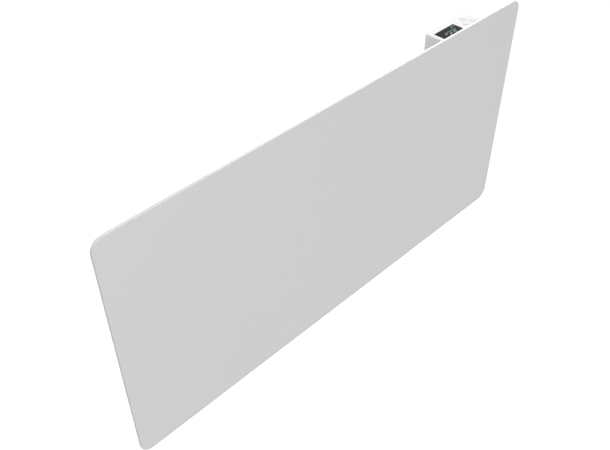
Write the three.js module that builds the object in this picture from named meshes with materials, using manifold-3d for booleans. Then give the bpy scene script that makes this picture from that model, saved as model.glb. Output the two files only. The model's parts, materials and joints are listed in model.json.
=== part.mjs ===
// Glass panel heater for a wall: a white glass front on a slim sheet-steel casing with an
// aluminium convector element, a control unit standing up behind the top edge of the glass,
// and a steel wall bracket that the heater hangs on and tilts forward from.
// Units are millimetres. X runs along the panel, Z is up, and the wall is the plane Y = 0,
// so everything stands out from it towards -Y. The origin is on the bracket's rear face.

import * as THREE from 'three';
import { mergeVertices } from 'three/addons/utils/BufferGeometryUtils.js';
import Module from 'manifold-3d';

const wasm = await Module();
wasm.setup();

// Clearance that pieces keep where they rest on each other
const SEAT = 0.3;

// Glass front
const GLASS_WIDTH = 672;
const GLASS_HEIGHT = 340;
const GLASS_THICKNESS = 4;
const GLASS_CORNER_RADIUS = 16;
const GLASS_ARRIS = 0.7;
const HEATER_DEPTH = 88;
const GLASS_FRONT_Y = -HEATER_DEPTH;
const GLASS_BACK_Y = GLASS_FRONT_Y + GLASS_THICKNESS;
const GLASS_TOP_Z = GLASS_HEIGHT / 2;

// Sheet-steel casing: a tray that is open to the front, and the plate that closes it
const CASING_WIDTH = 600;
const CASING_BOTTOM_Z = -145;
const CASING_TOP_Z = 121;
const CASING_HEIGHT = CASING_TOP_Z - CASING_BOTTOM_Z;
const CASING_REAR_Y = -36;
const CASING_FRONT_Y = -80.1;
const CASING_WALL = 1;
const CASING_CORNER_RADIUS = 6;
const CASING_BEND_RADIUS = 3;
const CASING_INNER_REAR_Y = CASING_REAR_Y - CASING_WALL;
const PLATE_FRONT_Y = -81.4;
const PLATE_FLANGE_DEPTH = 11;
const PLATE_BEAD_LENGTH = 500;
const PLATE_BEAD_HEIGHT = 10;
const PLATE_BEAD_RISE = 1.2;
const PLATE_BEAD_ROWS = [58, -82];

// Beads of silicone between the glass and the front plate
const BOND_LENGTH = 540;
const BOND_HEIGHT = 14;
const BOND_CLEARANCE = 0.2;
const BOND_ROWS = { upper: 84, lower: -108 };

// Screws through the plate's folded edges into the end walls of the casing
const CASING_SCREW_Y = PLATE_FRONT_Y + 7;
const CASING_SCREW_ROWS = { upper: 80, lower: -105 };
const CASING_SCREW_LENGTH = 6;

// Rows of air slots across the top and bottom walls
const AIR_SLOT_LENGTH = 32;
const AIR_SLOT_WIDTH = 6;
const AIR_SLOT_PITCH = 18.5;
const AIR_SLOT_Y = -58;
const AIR_SLOTS_LEFT_X = -282;
const OUTLET_SLOTS_RIGHT_X = 180;
const INLET_SLOTS_RIGHT_X = 205;

// Louvres pressed out of the rear wall
const LOUVRE_LENGTH = 56;
const LOUVRE_HEIGHT = 9;
const LOUVRE_DEPTH = 3.6;
const LOUVRE_COLUMNS = [-111, -37, 37, 111];
const LOUVRE_ROWS = [80, 98];

// Wall bracket, folded from one sheet
const BRACKET_SHEET = 1.5;
const LEG_OUTER_X = 187;
const LEG_WIDTH = 34;
const LEG_BOTTOM_Z = -132;
const LEG_TOP_Z = 73;
const FLANGE_FRONT_Y = CASING_REAR_Y + SEAT;
const CROSS_PLATE_HALF_HEIGHT = 38;
const CROSS_PLATE_LIP = 9;
const CROSS_HOLE_RADIUS = 15;
const CROSS_HOLE_PLACES = [62, 112];
const KEYHOLE_ROWS = [52, -112];
const KEYHOLE_HEAD_RADIUS = 5;
const KEYHOLE_SLOT_RADIUS = 2.6;
const KEYHOLE_SLOT_RISE = 8.8;
const FLANGE_WINDOW_BOTTOMS = [-96, -24];
const FLANGE_WINDOW_HEIGHT = 60;
const FLANGE_WINDOW_REAR_Y = -12;
const FLANGE_WINDOW_FRONT_Y = -26;
const FLANGE_WINDOW_RADIUS = 5;

// Hooks at the foot of the legs, on which slots in the casing hang and turn
const HOOK_FLOOR_Z = -121;
const HOOK_ARM_HEIGHT = 7;
const HOOK_TONGUE_TOP_Z = -107;
const HOOK_TONGUE_REAR_Y = -43;
const HOOK_TONGUE_FRONT_Y = -47;
const HOOK_SLOT_WIDTH = 6;
const HOOK_SLOT_HEIGHT = 21.3;

// Sliding latches at the top of the legs and the keepers on the casing
const LATCH_TRAVEL = 9;
const LATCH_PIN_RADIUS = 1.9;
const LATCH_PIN_Y = -20;
const LATCH_PIN_Z = 68.5;
const LATCH_NOSE_BOTTOM_Z = 53;
const LATCH_BRIDGE_Z = 83;
const LATCH_TOP_Z = 86.5;
const LATCH_REAR_Y = -9;
const LATCH_FRONT_Y = -32.6;
const LATCH_NOSE_REAR_Y = -28.5;
const KEEPER_INNER_X = 190.2;
const KEEPER_WIDTH = 9;
const KEEPER_LIP_TOP_Z = 51;
const KEEPER_FLOOR_Z = 40;
const KEEPER_SHEET = 1.5;

// Convector element along the lower half of the casing
const ELEMENT_Y = -58;
const ELEMENT_Z = -70;
const WING_LEFT_X = -245;
const WING_RIGHT_X = 165;
const WING_REACH = 23;
const WING_ANGLE = THREE.MathUtils.degToRad(35);
const WING_ROOT_THICKNESS = 3.2;
const WING_TIP_THICKNESS = 1.8;
const WING_BULB_RADIUS = 1.6;
const WING_SLOT_PITCH = 34.1;
const WING_SLOT_WIDTH = 2.2;
const HUB_RADIUS = 7;
const HUB_OVERHANG = 15;
const CORE_RADIUS = 4;
const CORE_OVERHANG = 21;
const PIN_RADIUS = 1.1;
const PIN_OVERHANG = 33;
const HOLDER_OFFSET = 7;

// Heat shield behind the element
const SHIELD_Y = -40.9;
const SHIELD_BOTTOM_Z = -102;
const SHIELD_TOP_Z = -14;
const SHIELD_FOOT_COLUMNS = [-200, 120];
const SHIELD_FOOT_ROWS = [-84, -36];
const SHIELD_FOOT_RADIUS = 5;

// Control unit: its cap stands out of the casing's top, behind the glass
const CONTROL_X = 236.3;
const CONTROL_Y = -61;
const CONTROL_WIDTH = 82.6;
const CONTROL_DEPTH = 38;
const CONTROL_CORNER_RADIUS = 2.4;
const CONTROL_LEAST_RADIUS = 0.4;
const CAP_TOP_Z = GLASS_TOP_Z - 16;
const CAP_BOTTOM_Z = CASING_TOP_Z + 0.8;
const CAP_WALL = 2;
const CAP_EDGE_RADIUS = 1;
const CONTROL_BOTTOM_Z = 30;
const WINDOW_WIDTH = 38.6;
const WINDOW_DEPTH = 20;
const WINDOW_X = -14.8;
const WINDOW_Y = -0.3;
const WINDOW_THICKNESS = 1;
const KEY_RADIUS = 4.2;
const KEY_STAND = 0.6;
const KEY_PLACES = {
  key_minus: [17.6, -1.2],
  key_plus: [31, -1.2],
  key_mode: [24.3, 9.4],
};
const BOARD_TOP_Z = 143.6;
const BOARD_THICKNESS = 1.6;

// Power board in the pot, and what stands on it
const POWER_BOARD = { left: -36.3, bottom: 46, width: 72.6, height: 64, corner: 2 };
const POWER_BOARD_FRONT_Y = 12;
const RELAY = { left: -30, bottom: 78, width: 28, height: 13, corner: 1 };
const RELAY_DEPTH = 15;
const SUPPLY = { left: 4, bottom: 82, width: 26, height: 20, corner: 2 };
const SUPPLY_DEPTH = 17;
const CAPACITOR_X = 16;
const CAPACITOR_Z = 66;

// Rocker switch in the right-hand wall of the control cap
const SWITCH_Z = 133;
const SWITCH_LENGTH = 19;
const SWITCH_HEIGHT = 12.6;
const ROCKER_PIVOT_X = CONTROL_WIDTH / 2 - 2.3;
const ROCKER_TILT = THREE.MathUtils.degToRad(8);

// Supply side
const GLAND_X = 238;
const GLAND_BORE_RADIUS = 3.7;
const GLAND_THREAD_RADIUS = 8;
const SENSOR_X = 284;
const BLOCK_X = 168;
const BLOCK_Z = 27;
const CUTOUT_X = 120;
const WIRE_RADIUS = 1.3;
const EARTH_X = 168;
const EARTH_Z = -8;

// Materials
function paint(color, roughness, metalness = 0) {
  return new THREE.MeshStandardMaterial({ color, roughness, metalness });
}

const WHITE_GLASS = paint(0xf2f3f3, 0.08);
const WHITE_ENAMEL = paint(0xeeeeec, 0.45);
const WHITE_PLASTIC = paint(0xf1f1ef, 0.4);
const BLACK_GLOSS = paint(0x101214, 0.12);
const GREY_PLASTIC = paint(0x9a9d9f, 0.55);
const DARK_PLASTIC = paint(0x2a2c2e, 0.5);
const ALUMINIUM = paint(0xc4c7ca, 0.38, 1);
const ZINC_STEEL = paint(0xb4b7ba, 0.42, 1);
const CERAMIC = paint(0xe9e4d6, 0.7);
const SILICONE = paint(0x8d8f90, 0.8);
const RUBBER = paint(0x1c1c1c, 0.85);
const CIRCUIT_BOARD = paint(0x1f5a3a, 0.6);
const LIVE_WIRE = paint(0x6b4226, 0.6);
const NEUTRAL_WIRE = paint(0x2a56a5, 0.6);
const EARTH_WIRE = paint(0x6f9a2e, 0.6);
const STEEL = paint(0x8c9094, 0.35, 1);

// Geometry helpers

const X_FROM_YZ = new THREE.Matrix4().makeBasis(
  new THREE.Vector3(0, 1, 0),
  new THREE.Vector3(0, 0, 1),
  new THREE.Vector3(1, 0, 0),
);

function outline(points) {
  return new THREE.Shape(points.map(([u, v]) => new THREE.Vector2(u, v)));
}

function roundedRectangle(left, bottom, width, height, radius) {
  const right = left + width;
  const top = bottom + height;
  const shape = new THREE.Shape();
  shape.moveTo(left + radius, bottom);
  shape.absarc(right - radius, bottom + radius, radius, -Math.PI / 2, 0);
  shape.absarc(right - radius, top - radius, radius, 0, Math.PI / 2);
  shape.absarc(left + radius, top - radius, radius, Math.PI / 2, Math.PI);
  shape.absarc(left + radius, bottom + radius, radius, Math.PI, Math.PI * 1.5);
  return shape;
}

function circle(u, v, radius) {
  return new THREE.Shape().absarc(u, v, radius, 0, Math.PI * 2);
}

function extrude(shape, length, { edge = 0, segments = 4, edgeSegments = 2 } = {}) {
  const geometry = new THREE.ExtrudeGeometry(shape, {
    depth: length - 2 * edge,
    curveSegments: segments,
    bevelEnabled: edge > 0,
    bevelThickness: edge,
    bevelSize: edge,
    bevelOffset: -edge,
    bevelSegments: edgeSegments,
  });
  return geometry.translate(0, 0, edge);
}

// A shape drawn in X and Y, standing between two heights
function prismZ(shape, low, high, options) {
  return extrude(shape, high - low, options).translate(0, 0, low);
}

// A shape drawn in X and Z, reaching from low to high along Y
function prismY(shape, low, high, options) {
  return extrude(shape, high - low, options).rotateX(Math.PI / 2).translate(0, high, 0);
}

// A shape drawn in Y and Z, reaching from low to high along X
function prismX(shape, low, high, options) {
  return extrude(shape, high - low, options).applyMatrix4(X_FROM_YZ).translate(low, 0, 0);
}

function block(low, high) {
  const size = high.map((value, axis) => value - low[axis]);
  const centre = high.map((value, axis) => (value + low[axis]) / 2);
  return new THREE.BoxGeometry(...size).translate(...centre);
}

function rodX(radius, low, high, sides = 16) {
  const rod = new THREE.CylinderGeometry(radius, radius, high - low, sides);
  return rod.rotateZ(-Math.PI / 2).translate((low + high) / 2, 0, 0);
}

// A closed profile of [radius, height] points turned about the Z axis
function turned(profile, sides = 20) {
  const points = profile.map(([radius, height]) => new THREE.Vector2(radius, height));
  return new THREE.LatheGeometry(points, sides).rotateX(Math.PI / 2);
}

// The outline of a bent strip of sheet: the given line, and the same line one thickness to its left
function foldedSheet(line, thickness) {
  const path = line.map(([u, v]) => new THREE.Vector2(u, v));
  const normals = path.slice(1).map((point, index) => {
    const direction = point.clone().sub(path[index]).normalize();
    return new THREE.Vector2(-direction.y, direction.x);
  });
  const offset = path.map((point, index) => {
    const before = normals[Math.max(index - 1, 0)];
    const after = normals[Math.min(index, normals.length - 1)];
    const mitre = before.clone().add(after).divideScalar(1 + before.dot(after));
    return point.clone().addScaledVector(mitre, thickness);
  });
  return new THREE.Shape([...path, ...offset.reverse()]);
}

function solid(geometry) {
  geometry.deleteAttribute('normal');
  geometry.deleteAttribute('uv');
  const merged = mergeVertices(geometry, 1e-4);
  return new wasm.Manifold(new wasm.Mesh({
    numProp: 3,
    vertProperties: Float32Array.from(merged.attributes.position.array),
    triVerts: Uint32Array.from(merged.index.array),
  }));
}

function join(first, ...others) {
  return others.reduce((whole, geometry) => whole.add(solid(geometry)), toSolid(first));
}

function cut(first, ...tools) {
  return tools.reduce((whole, geometry) => whole.subtract(solid(geometry)), toSolid(first));
}

function toSolid(shape) {
  return shape instanceof THREE.BufferGeometry ? solid(shape) : shape;
}

function toGeometry(shape) {
  if (shape instanceof THREE.BufferGeometry) {
    return shape;
  }
  const { vertProperties, triVerts, numProp } = shape.getMesh();
  const positions = [];
  for (let index = 0; index < vertProperties.length; index += numProp) {
    positions.push(vertProperties[index], vertProperties[index + 1], vertProperties[index + 2]);
  }
  const geometry = new THREE.BufferGeometry();
  geometry.setAttribute('position', new THREE.Float32BufferAttribute(positions, 3));
  geometry.setIndex(Array.from(triVerts));
  geometry.computeVertexNormals();
  return geometry;
}

function piece(parent, name, shape, material) {
  const mesh = new THREE.Mesh(toGeometry(shape), material);
  mesh.name = name;
  parent.add(mesh);
  return mesh;
}

function group(parent, x, y, z) {
  const child = new THREE.Group();
  child.position.set(x, y, z);
  parent.add(child);
  return child;
}

function stations(first, last, pitch) {
  const count = Math.floor((last - first) / pitch) + 1;
  return Array.from({ length: count }, (_, index) => first + index * pitch);
}

// Left and right copies of a piece that is drawn on the right
const SIDES = [['left', -1], ['right', 1]];

function mirroredX(shape) {
  return toSolid(shape).mirror([1, 0, 0]);
}

function onSide(shape, sign) {
  return sign < 0 ? mirroredX(shape) : shape;
}

const heater = new THREE.Group();
heater.name = 'glass_panel_heater';

// Glass front with ground edges

function makeGlass() {
  const face = roundedRectangle(
    -GLASS_WIDTH / 2,
    -GLASS_HEIGHT / 2,
    GLASS_WIDTH,
    GLASS_HEIGHT,
    GLASS_CORNER_RADIUS,
  );
  const glass = prismY(face, GLASS_FRONT_Y, GLASS_BACK_Y, { edge: GLASS_ARRIS, segments: 7, edgeSegments: 1 });
  piece(heater, 'glass_panel', glass, WHITE_GLASS);
}

// Two flat beads of silicone that carry the glass on the front plate

function makeBonds() {
  for (const [row, z] of Object.entries(BOND_ROWS)) {
    const bead = roundedRectangle(
      -BOND_LENGTH / 2,
      z - BOND_HEIGHT / 2,
      BOND_LENGTH,
      BOND_HEIGHT,
      BOND_HEIGHT / 2,
    );
    const strip = prismY(bead, GLASS_BACK_Y + BOND_CLEARANCE, PLATE_FRONT_Y - BOND_CLEARANCE, { segments: 3 });
    piece(heater, `glass_bond_${row}`, strip, SILICONE);
  }
}

// Holes for the four screws, through the end walls
function casingScrewHoles(radius) {
  const holes = [];
  for (const sign of [-1, 1]) {
    for (const z of Object.values(CASING_SCREW_ROWS)) {
      holes.push(rodX(radius, -2, 2, 8).translate(sign * CASING_WIDTH / 2, CASING_SCREW_Y, z));
    }
  }
  return holes;
}

// Front plate: a shallow lid over the casing, with its edges folded back and two pressed beads

function plateBead(inset, z, frontY, rearY) {
  const length = PLATE_BEAD_LENGTH - 2 * inset;
  const height = PLATE_BEAD_HEIGHT - 2 * inset;
  const bead = roundedRectangle(-length / 2, z - height / 2, length, height, height / 2);
  return prismY(bead, frontY, rearY, { segments: 2 });
}

function makeFrontPlate() {
  const overhang = SEAT + CASING_WALL;
  const lid = roundedRectangle(
    -CASING_WIDTH / 2 - overhang,
    CASING_BOTTOM_Z - overhang,
    CASING_WIDTH + 2 * overhang,
    CASING_HEIGHT + 2 * overhang,
    CASING_CORNER_RADIUS + overhang,
  );
  const inside = roundedRectangle(
    -CASING_WIDTH / 2 - SEAT,
    CASING_BOTTOM_Z - SEAT,
    CASING_WIDTH + 2 * SEAT,
    CASING_HEIGHT + 2 * SEAT,
    CASING_CORNER_RADIUS + SEAT,
  );
  const plateRearY = PLATE_FRONT_Y + CASING_WALL;
  const flangeRearY = PLATE_FRONT_Y + PLATE_FLANGE_DEPTH;
  let plate = cut(
    prismY(lid, PLATE_FRONT_Y, flangeRearY, { segments: 3 }),
    prismY(inside, plateRearY, flangeRearY + 1, { segments: 3 }),
  );
  const beadFrontY = PLATE_FRONT_Y - PLATE_BEAD_RISE;
  for (const z of PLATE_BEAD_ROWS) {
    plate = join(plate, plateBead(0, z, beadFrontY, PLATE_FRONT_Y + CASING_WALL / 2));
    plate = cut(plate, plateBead(CASING_WALL, z, beadFrontY + CASING_WALL, plateRearY + 1));
  }
  const notchSide = CONTROL_WIDTH / 2 + 1;
  const notch = block(
    [CONTROL_X - notchSide, plateRearY, CASING_TOP_Z - 4],
    [CONTROL_X + notchSide, flangeRearY + 1, CASING_TOP_Z + overhang + 1],
  );
  plate = cut(plate, notch);
  plate = cut(plate, ...casingScrewHoles(2.2));
  piece(heater, 'front_plate', plate, WHITE_ENAMEL);
}

// Rear casing: a deep-drawn tray with air slots, louvres and slots for the bracket's hooks

function trayBlank(inset, rearY) {
  const face = roundedRectangle(
    -CASING_WIDTH / 2 + inset,
    CASING_BOTTOM_Z + inset,
    CASING_WIDTH - 2 * inset,
    CASING_HEIGHT - 2 * inset,
    CASING_CORNER_RADIUS - inset,
  );
  const reachForward = 20;
  return prismY(face, CASING_FRONT_Y - reachForward, rearY, { edge: CASING_BEND_RADIUS - inset, segments: 3 });
}

function airSlot(x, z) {
  const slot = roundedRectangle(
    x - AIR_SLOT_WIDTH / 2,
    AIR_SLOT_Y - AIR_SLOT_LENGTH / 2,
    AIR_SLOT_WIDTH,
    AIR_SLOT_LENGTH,
    AIR_SLOT_WIDTH / 2,
  );
  return prismZ(slot, z - 2, z + 2, { segments: 1 });
}

// The hood of a louvre is a quarter-round bulge whose ends taper into the wall; it opens downwards
function louvreHood(inset, drop) {
  const depth = LOUVRE_DEPTH - inset;
  const height = LOUVRE_HEIGHT - inset;
  const half = LOUVRE_LENGTH / 2 - inset;
  const rootY = CASING_INNER_REAR_Y - inset;
  const bulge = new THREE.Shape();
  bulge.moveTo(rootY, -drop);
  bulge.lineTo(CASING_REAR_Y + depth, -drop);
  bulge.absellipse(CASING_REAR_Y, 0, depth, height, 0, Math.PI / 2);
  bulge.lineTo(rootY, height);
  const plan = outline([
    [-half, rootY],
    [half, rootY],
    [half, CASING_REAR_Y],
    [half - LOUVRE_DEPTH, CASING_REAR_Y + depth],
    [-half + LOUVRE_DEPTH, CASING_REAR_Y + depth],
    [-half, CASING_REAR_Y],
  ]);
  const hood = solid(prismX(bulge, -half, half, { segments: 2 }));
  return hood.intersect(solid(prismZ(plan, -drop - 1, LOUVRE_HEIGHT + 1)));
}

function makeCasing() {
  let casing = cut(trayBlank(0, CASING_REAR_Y), trayBlank(CASING_WALL, CASING_INNER_REAR_Y));
  const far = CASING_WIDTH;
  casing = cut(casing, block([-far, CASING_FRONT_Y - 50, -far], [far, CASING_FRONT_Y, far]));

  for (const x of LOUVRE_COLUMNS) {
    for (const z of LOUVRE_ROWS) {
      casing = casing.add(louvreHood(0, 0).translate([x, 0, z]));
      casing = casing.subtract(louvreHood(CASING_WALL, 1).translate([x, 0, z]));
    }
  }
  for (const x of stations(AIR_SLOTS_LEFT_X, OUTLET_SLOTS_RIGHT_X, AIR_SLOT_PITCH)) {
    casing = cut(casing, airSlot(x, CASING_TOP_Z));
  }
  for (const x of stations(AIR_SLOTS_LEFT_X, INLET_SLOTS_RIGHT_X, AIR_SLOT_PITCH)) {
    casing = cut(casing, airSlot(x, CASING_BOTTOM_Z));
  }

  const notchSide = CONTROL_WIDTH / 2 + 0.5;
  const notchRearY = CONTROL_Y + CONTROL_DEPTH / 2 + 0.5;
  casing = cut(casing, block(
    [CONTROL_X - notchSide, CASING_FRONT_Y - 1, CASING_TOP_Z - 4],
    [CONTROL_X + notchSide, notchRearY, CASING_TOP_Z + 1],
  ));

  const slotTopZ = HOOK_FLOOR_Z + SEAT;
  const hookX = LEG_OUTER_X - BRACKET_SHEET / 2;
  for (const sign of [-1, 1]) {
    const hookSlot = roundedRectangle(
      sign * hookX - HOOK_SLOT_WIDTH / 2,
      slotTopZ - HOOK_SLOT_HEIGHT,
      HOOK_SLOT_WIDTH,
      HOOK_SLOT_HEIGHT,
      0.8,
    );
    casing = cut(casing, prismY(hookSlot, CASING_INNER_REAR_Y - 1, CASING_REAR_Y + 1, { segments: 1 }));
  }
  const glandHole = circle(GLAND_X, AIR_SLOT_Y, GLAND_THREAD_RADIUS + 0.4);
  const sensorHole = circle(SENSOR_X, AIR_SLOT_Y, 3.2);
  casing = cut(
    casing,
    ...casingScrewHoles(1.7),
    prismZ(glandHole, CASING_BOTTOM_Z - 1, CASING_BOTTOM_Z + 2, { segments: 7 }),
    prismZ(sensorHole, CASING_BOTTOM_Z - 1, CASING_BOTTOM_Z + 2),
  );
  piece(heater, 'rear_casing', casing, WHITE_ENAMEL);
}

// Screws through the plate's folded edges into the casing's end walls

function panHeadScrew(shankLength) {
  const headRadius = 3.4;
  const headHeight = 2;
  const shankRadius = 1.4;
  return turned([
    [0, -shankLength],
    [shankRadius, -shankLength],
    [shankRadius, 0],
    [headRadius, 0],
    [headRadius * 0.95, headHeight * 0.6],
    [headRadius * 0.6, headHeight],
    [0, headHeight],
  ], 8);
}

function makeCasingScrews() {
  const faceX = CASING_WIDTH / 2 + CASING_WALL + SEAT + 0.2;
  for (const [side, sign] of SIDES) {
    for (const [row, z] of Object.entries(CASING_SCREW_ROWS)) {
      const screw = piece(heater, `casing_screw_${side}_${row}`, panHeadScrew(CASING_SCREW_LENGTH), STEEL);
      screw.position.set(sign * faceX, CASING_SCREW_Y, z);
      screw.rotation.y = sign * Math.PI / 2;
    }
  }
}

// Keepers: bent tabs on the rear wall behind which the latches drop

function makeKeepers() {
  const wallY = CASING_REAR_Y + SEAT;
  const lipRearY = -26;
  const profile = foldedSheet([
    [wallY, KEEPER_FLOOR_Z + 17],
    [wallY, KEEPER_FLOOR_Z],
    [lipRearY, KEEPER_FLOOR_Z],
    [lipRearY, KEEPER_LIP_TOP_Z],
  ], KEEPER_SHEET);
  for (const [side, sign] of SIDES) {
    const keeper = prismX(profile, KEEPER_INNER_X, KEEPER_INNER_X + KEEPER_WIDTH);
    piece(heater, `latch_keeper_${side}`, onSide(keeper, sign), ZINC_STEEL);
  }
}

// Convector element: an extruded hub with four slotted wings on a sheathed core

function wingProfile() {
  const rootRadius = HUB_RADIUS - 1;
  const neck = WING_REACH - WING_BULB_RADIUS;
  const wing = new THREE.Shape();
  wing.moveTo(-WING_ROOT_THICKNESS / 2, rootRadius);
  wing.lineTo(WING_ROOT_THICKNESS / 2, rootRadius);
  wing.lineTo(WING_TIP_THICKNESS / 2, neck - 1.3);
  wing.absarc(0, neck, WING_BULB_RADIUS, -Math.PI / 3, Math.PI * 4 / 3);
  wing.lineTo(-WING_TIP_THICKNESS / 2, neck - 1.3);
  return wing;
}

function makeElement() {
  const unit = group(heater, 0, ELEMENT_Y, ELEMENT_Z);
  const hubLeft = WING_LEFT_X - HUB_OVERHANG;
  const hubRight = WING_RIGHT_X + HUB_OVERHANG;
  let body = solid(rodX(HUB_RADIUS, hubLeft, hubRight, 16));
  for (const angle of [WING_ANGLE, Math.PI - WING_ANGLE, Math.PI + WING_ANGLE, -WING_ANGLE]) {
    const wing = prismX(wingProfile(), WING_LEFT_X, WING_RIGHT_X, { segments: 2 }).rotateX(angle);
    body = join(body, wing);
  }
  const slotRoot = HUB_RADIUS + 2.5;
  const half = WING_SLOT_WIDTH / 2;
  for (const x of stations(WING_LEFT_X + WING_SLOT_PITCH, WING_RIGHT_X - half, WING_SLOT_PITCH)) {
    body = cut(
      body,
      block([x - half, -WING_REACH, slotRoot], [x + half, WING_REACH, WING_REACH + 2]),
      block([x - half, -WING_REACH, -WING_REACH - 2], [x + half, WING_REACH, -slotRoot]),
    );
  }
  body = cut(body, rodX(CORE_RADIUS + SEAT, hubLeft - 1, hubRight + 1, 12));
  piece(unit, 'element_body', body, ALUMINIUM);

  const coreLeft = WING_LEFT_X - CORE_OVERHANG;
  const coreRight = WING_RIGHT_X + CORE_OVERHANG;
  const core = join(
    rodX(CORE_RADIUS, coreLeft, coreRight, 12),
    rodX(PIN_RADIUS, WING_LEFT_X - PIN_OVERHANG, WING_RIGHT_X + PIN_OVERHANG, 8),
  );
  piece(unit, 'element_core', core, STEEL);

  const ends = { left: [WING_LEFT_X, -1], right: [WING_RIGHT_X, 1] };
  for (const [side, [endX, sign]] of Object.entries(ends)) {
    makeElementEnd(unit, side, endX, sign);
  }
}

// Ceramic seal, silicone bush and folded steel holder at one end of the element
function makeElementEnd(unit, side, endX, sign) {
  const seal = turned([
    [PIN_RADIUS + SEAT, 0],
    [5, 0],
    [5, 3],
    [3.4, 6],
    [PIN_RADIUS + SEAT, 6],
    [PIN_RADIUS + SEAT, 0],
  ], 12);
  const sealPiece = piece(unit, `element_seal_${side}`, seal, CERAMIC);
  sealPiece.position.x = endX + sign * (CORE_OVERHANG + SEAT);
  sealPiece.rotation.y = sign * Math.PI / 2;

  const bore = HUB_RADIUS + SEAT;
  const sleeve = 9.2;
  const bush = turned([
    [bore, 0],
    [12, 0],
    [12, 1.6],
    [sleeve, 1.6],
    [sleeve, 4.4],
    [bore, 4.4],
    [bore, 0],
  ], 14);
  const bushPiece = piece(unit, `element_bush_${side}`, bush, SILICONE);
  bushPiece.position.x = endX + sign * (HOLDER_OFFSET - 2);
  bushPiece.rotation.y = sign * Math.PI / 2;

  const plateX = HOLDER_OFFSET;
  const sheet = 1.2;
  const footLength = 15;
  const footRear = CASING_INNER_REAR_Y - SEAT - ELEMENT_Y;
  const plate = roundedRectangle(-19, -15, 19 + footRear, 30, 3);
  let holder = join(
    prismX(plate, plateX, plateX + sheet, { segments: 2 }),
    block([plateX, footRear - sheet, -12], [plateX + footLength, footRear, 12]),
  );
  holder = cut(holder, rodX(sleeve + SEAT, plateX - 1, plateX + sheet + 1, 14));
  const screwHole = circle(plateX + 9, 0, 2.1);
  holder = cut(holder, prismY(screwHole, footRear - sheet - 1, footRear + 1));
  const holderPiece = piece(unit, `element_holder_${side}`, onSide(holder, sign), ZINC_STEEL);
  holderPiece.position.x = endX;

  const screw = piece(unit, `holder_screw_${side}`, panHeadScrew(1.2), STEEL);
  screw.position.set(endX + sign * (plateX + 9), footRear - sheet - 0.2, 0);
  screw.rotation.x = Math.PI / 2;
}

// Heat shield between the element and the rear wall, on four pressed feet

function makeHeatShield() {
  const sheet = 0.6;
  const lip = 8;
  const profile = foldedSheet([
    [SHIELD_Y - lip, SHIELD_BOTTOM_Z],
    [SHIELD_Y, SHIELD_BOTTOM_Z + lip],
    [SHIELD_Y, SHIELD_TOP_Z - lip],
    [SHIELD_Y - lip, SHIELD_TOP_Z],
  ], sheet);
  let shield = toSolid(prismX(profile, WING_LEFT_X - 4, WING_RIGHT_X + 4));
  const footRearY = CASING_INNER_REAR_Y - SEAT;
  for (const x of SHIELD_FOOT_COLUMNS) {
    for (const z of SHIELD_FOOT_ROWS) {
      const foot = prismY(circle(x, z, SHIELD_FOOT_RADIUS), SHIELD_Y - sheet, footRearY);
      const dimple = prismY(circle(x, z, SHIELD_FOOT_RADIUS - 1), SHIELD_Y - 1, footRearY - sheet);
      shield = cut(join(shield, foot), dimple);
    }
  }
  const notchHalf = 13;
  shield = cut(shield, block(
    [CUTOUT_X - notchHalf, SHIELD_Y - 12, SHIELD_TOP_Z - lip - 2],
    [CUTOUT_X + notchHalf, SHIELD_Y + 2, SHIELD_TOP_Z + 6],
  ));
  piece(heater, 'heat_shield', shield, ALUMINIUM);
}

// Thermal cut-out: a snap disc in a flanged case, on a clip over the element

function makeCutout() {
  const clipZ = ELEMENT_Z + WING_REACH + 1;
  const sheet = 1;
  const clipRearY = CASING_INNER_REAR_Y - SEAT;
  const strip = foldedSheet([
    [ELEMENT_Y - 11, clipZ],
    [clipRearY - 4.6, clipZ],
    [clipRearY - 4.6, clipZ + 34],
    [clipRearY, clipZ + 38],
    [clipRearY, clipZ + 50],
  ], sheet);
  const halfWidth = 11;
  let clip = toSolid(prismX(strip, CUTOUT_X - halfWidth, CUTOUT_X + halfWidth));
  clip = cut(clip, prismZ(circle(CUTOUT_X, ELEMENT_Y, 6), clipZ - 2, clipZ + 3, { segments: 6 }));
  piece(heater, 'cutout_clip', clip, ZINC_STEEL);

  const unit = group(heater, CUTOUT_X, ELEMENT_Y, clipZ + sheet + 0.2);
  const disc = turned([
    [0, 0],
    [9.5, 0],
    [9.5, 1.2],
    [8, 1.2],
    [8, 9],
    [7, 10],
    [0, 10],
  ], 14);
  const blade = (x) => block([x - 0.4, -3, 9], [x + 0.4, 3, 17]);
  piece(unit, 'thermal_cutout', join(disc, blade(-4.5), blade(4.5)), DARK_PLASTIC);
}

// Terminal block on the rear wall, and the earth terminal beside it

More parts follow.
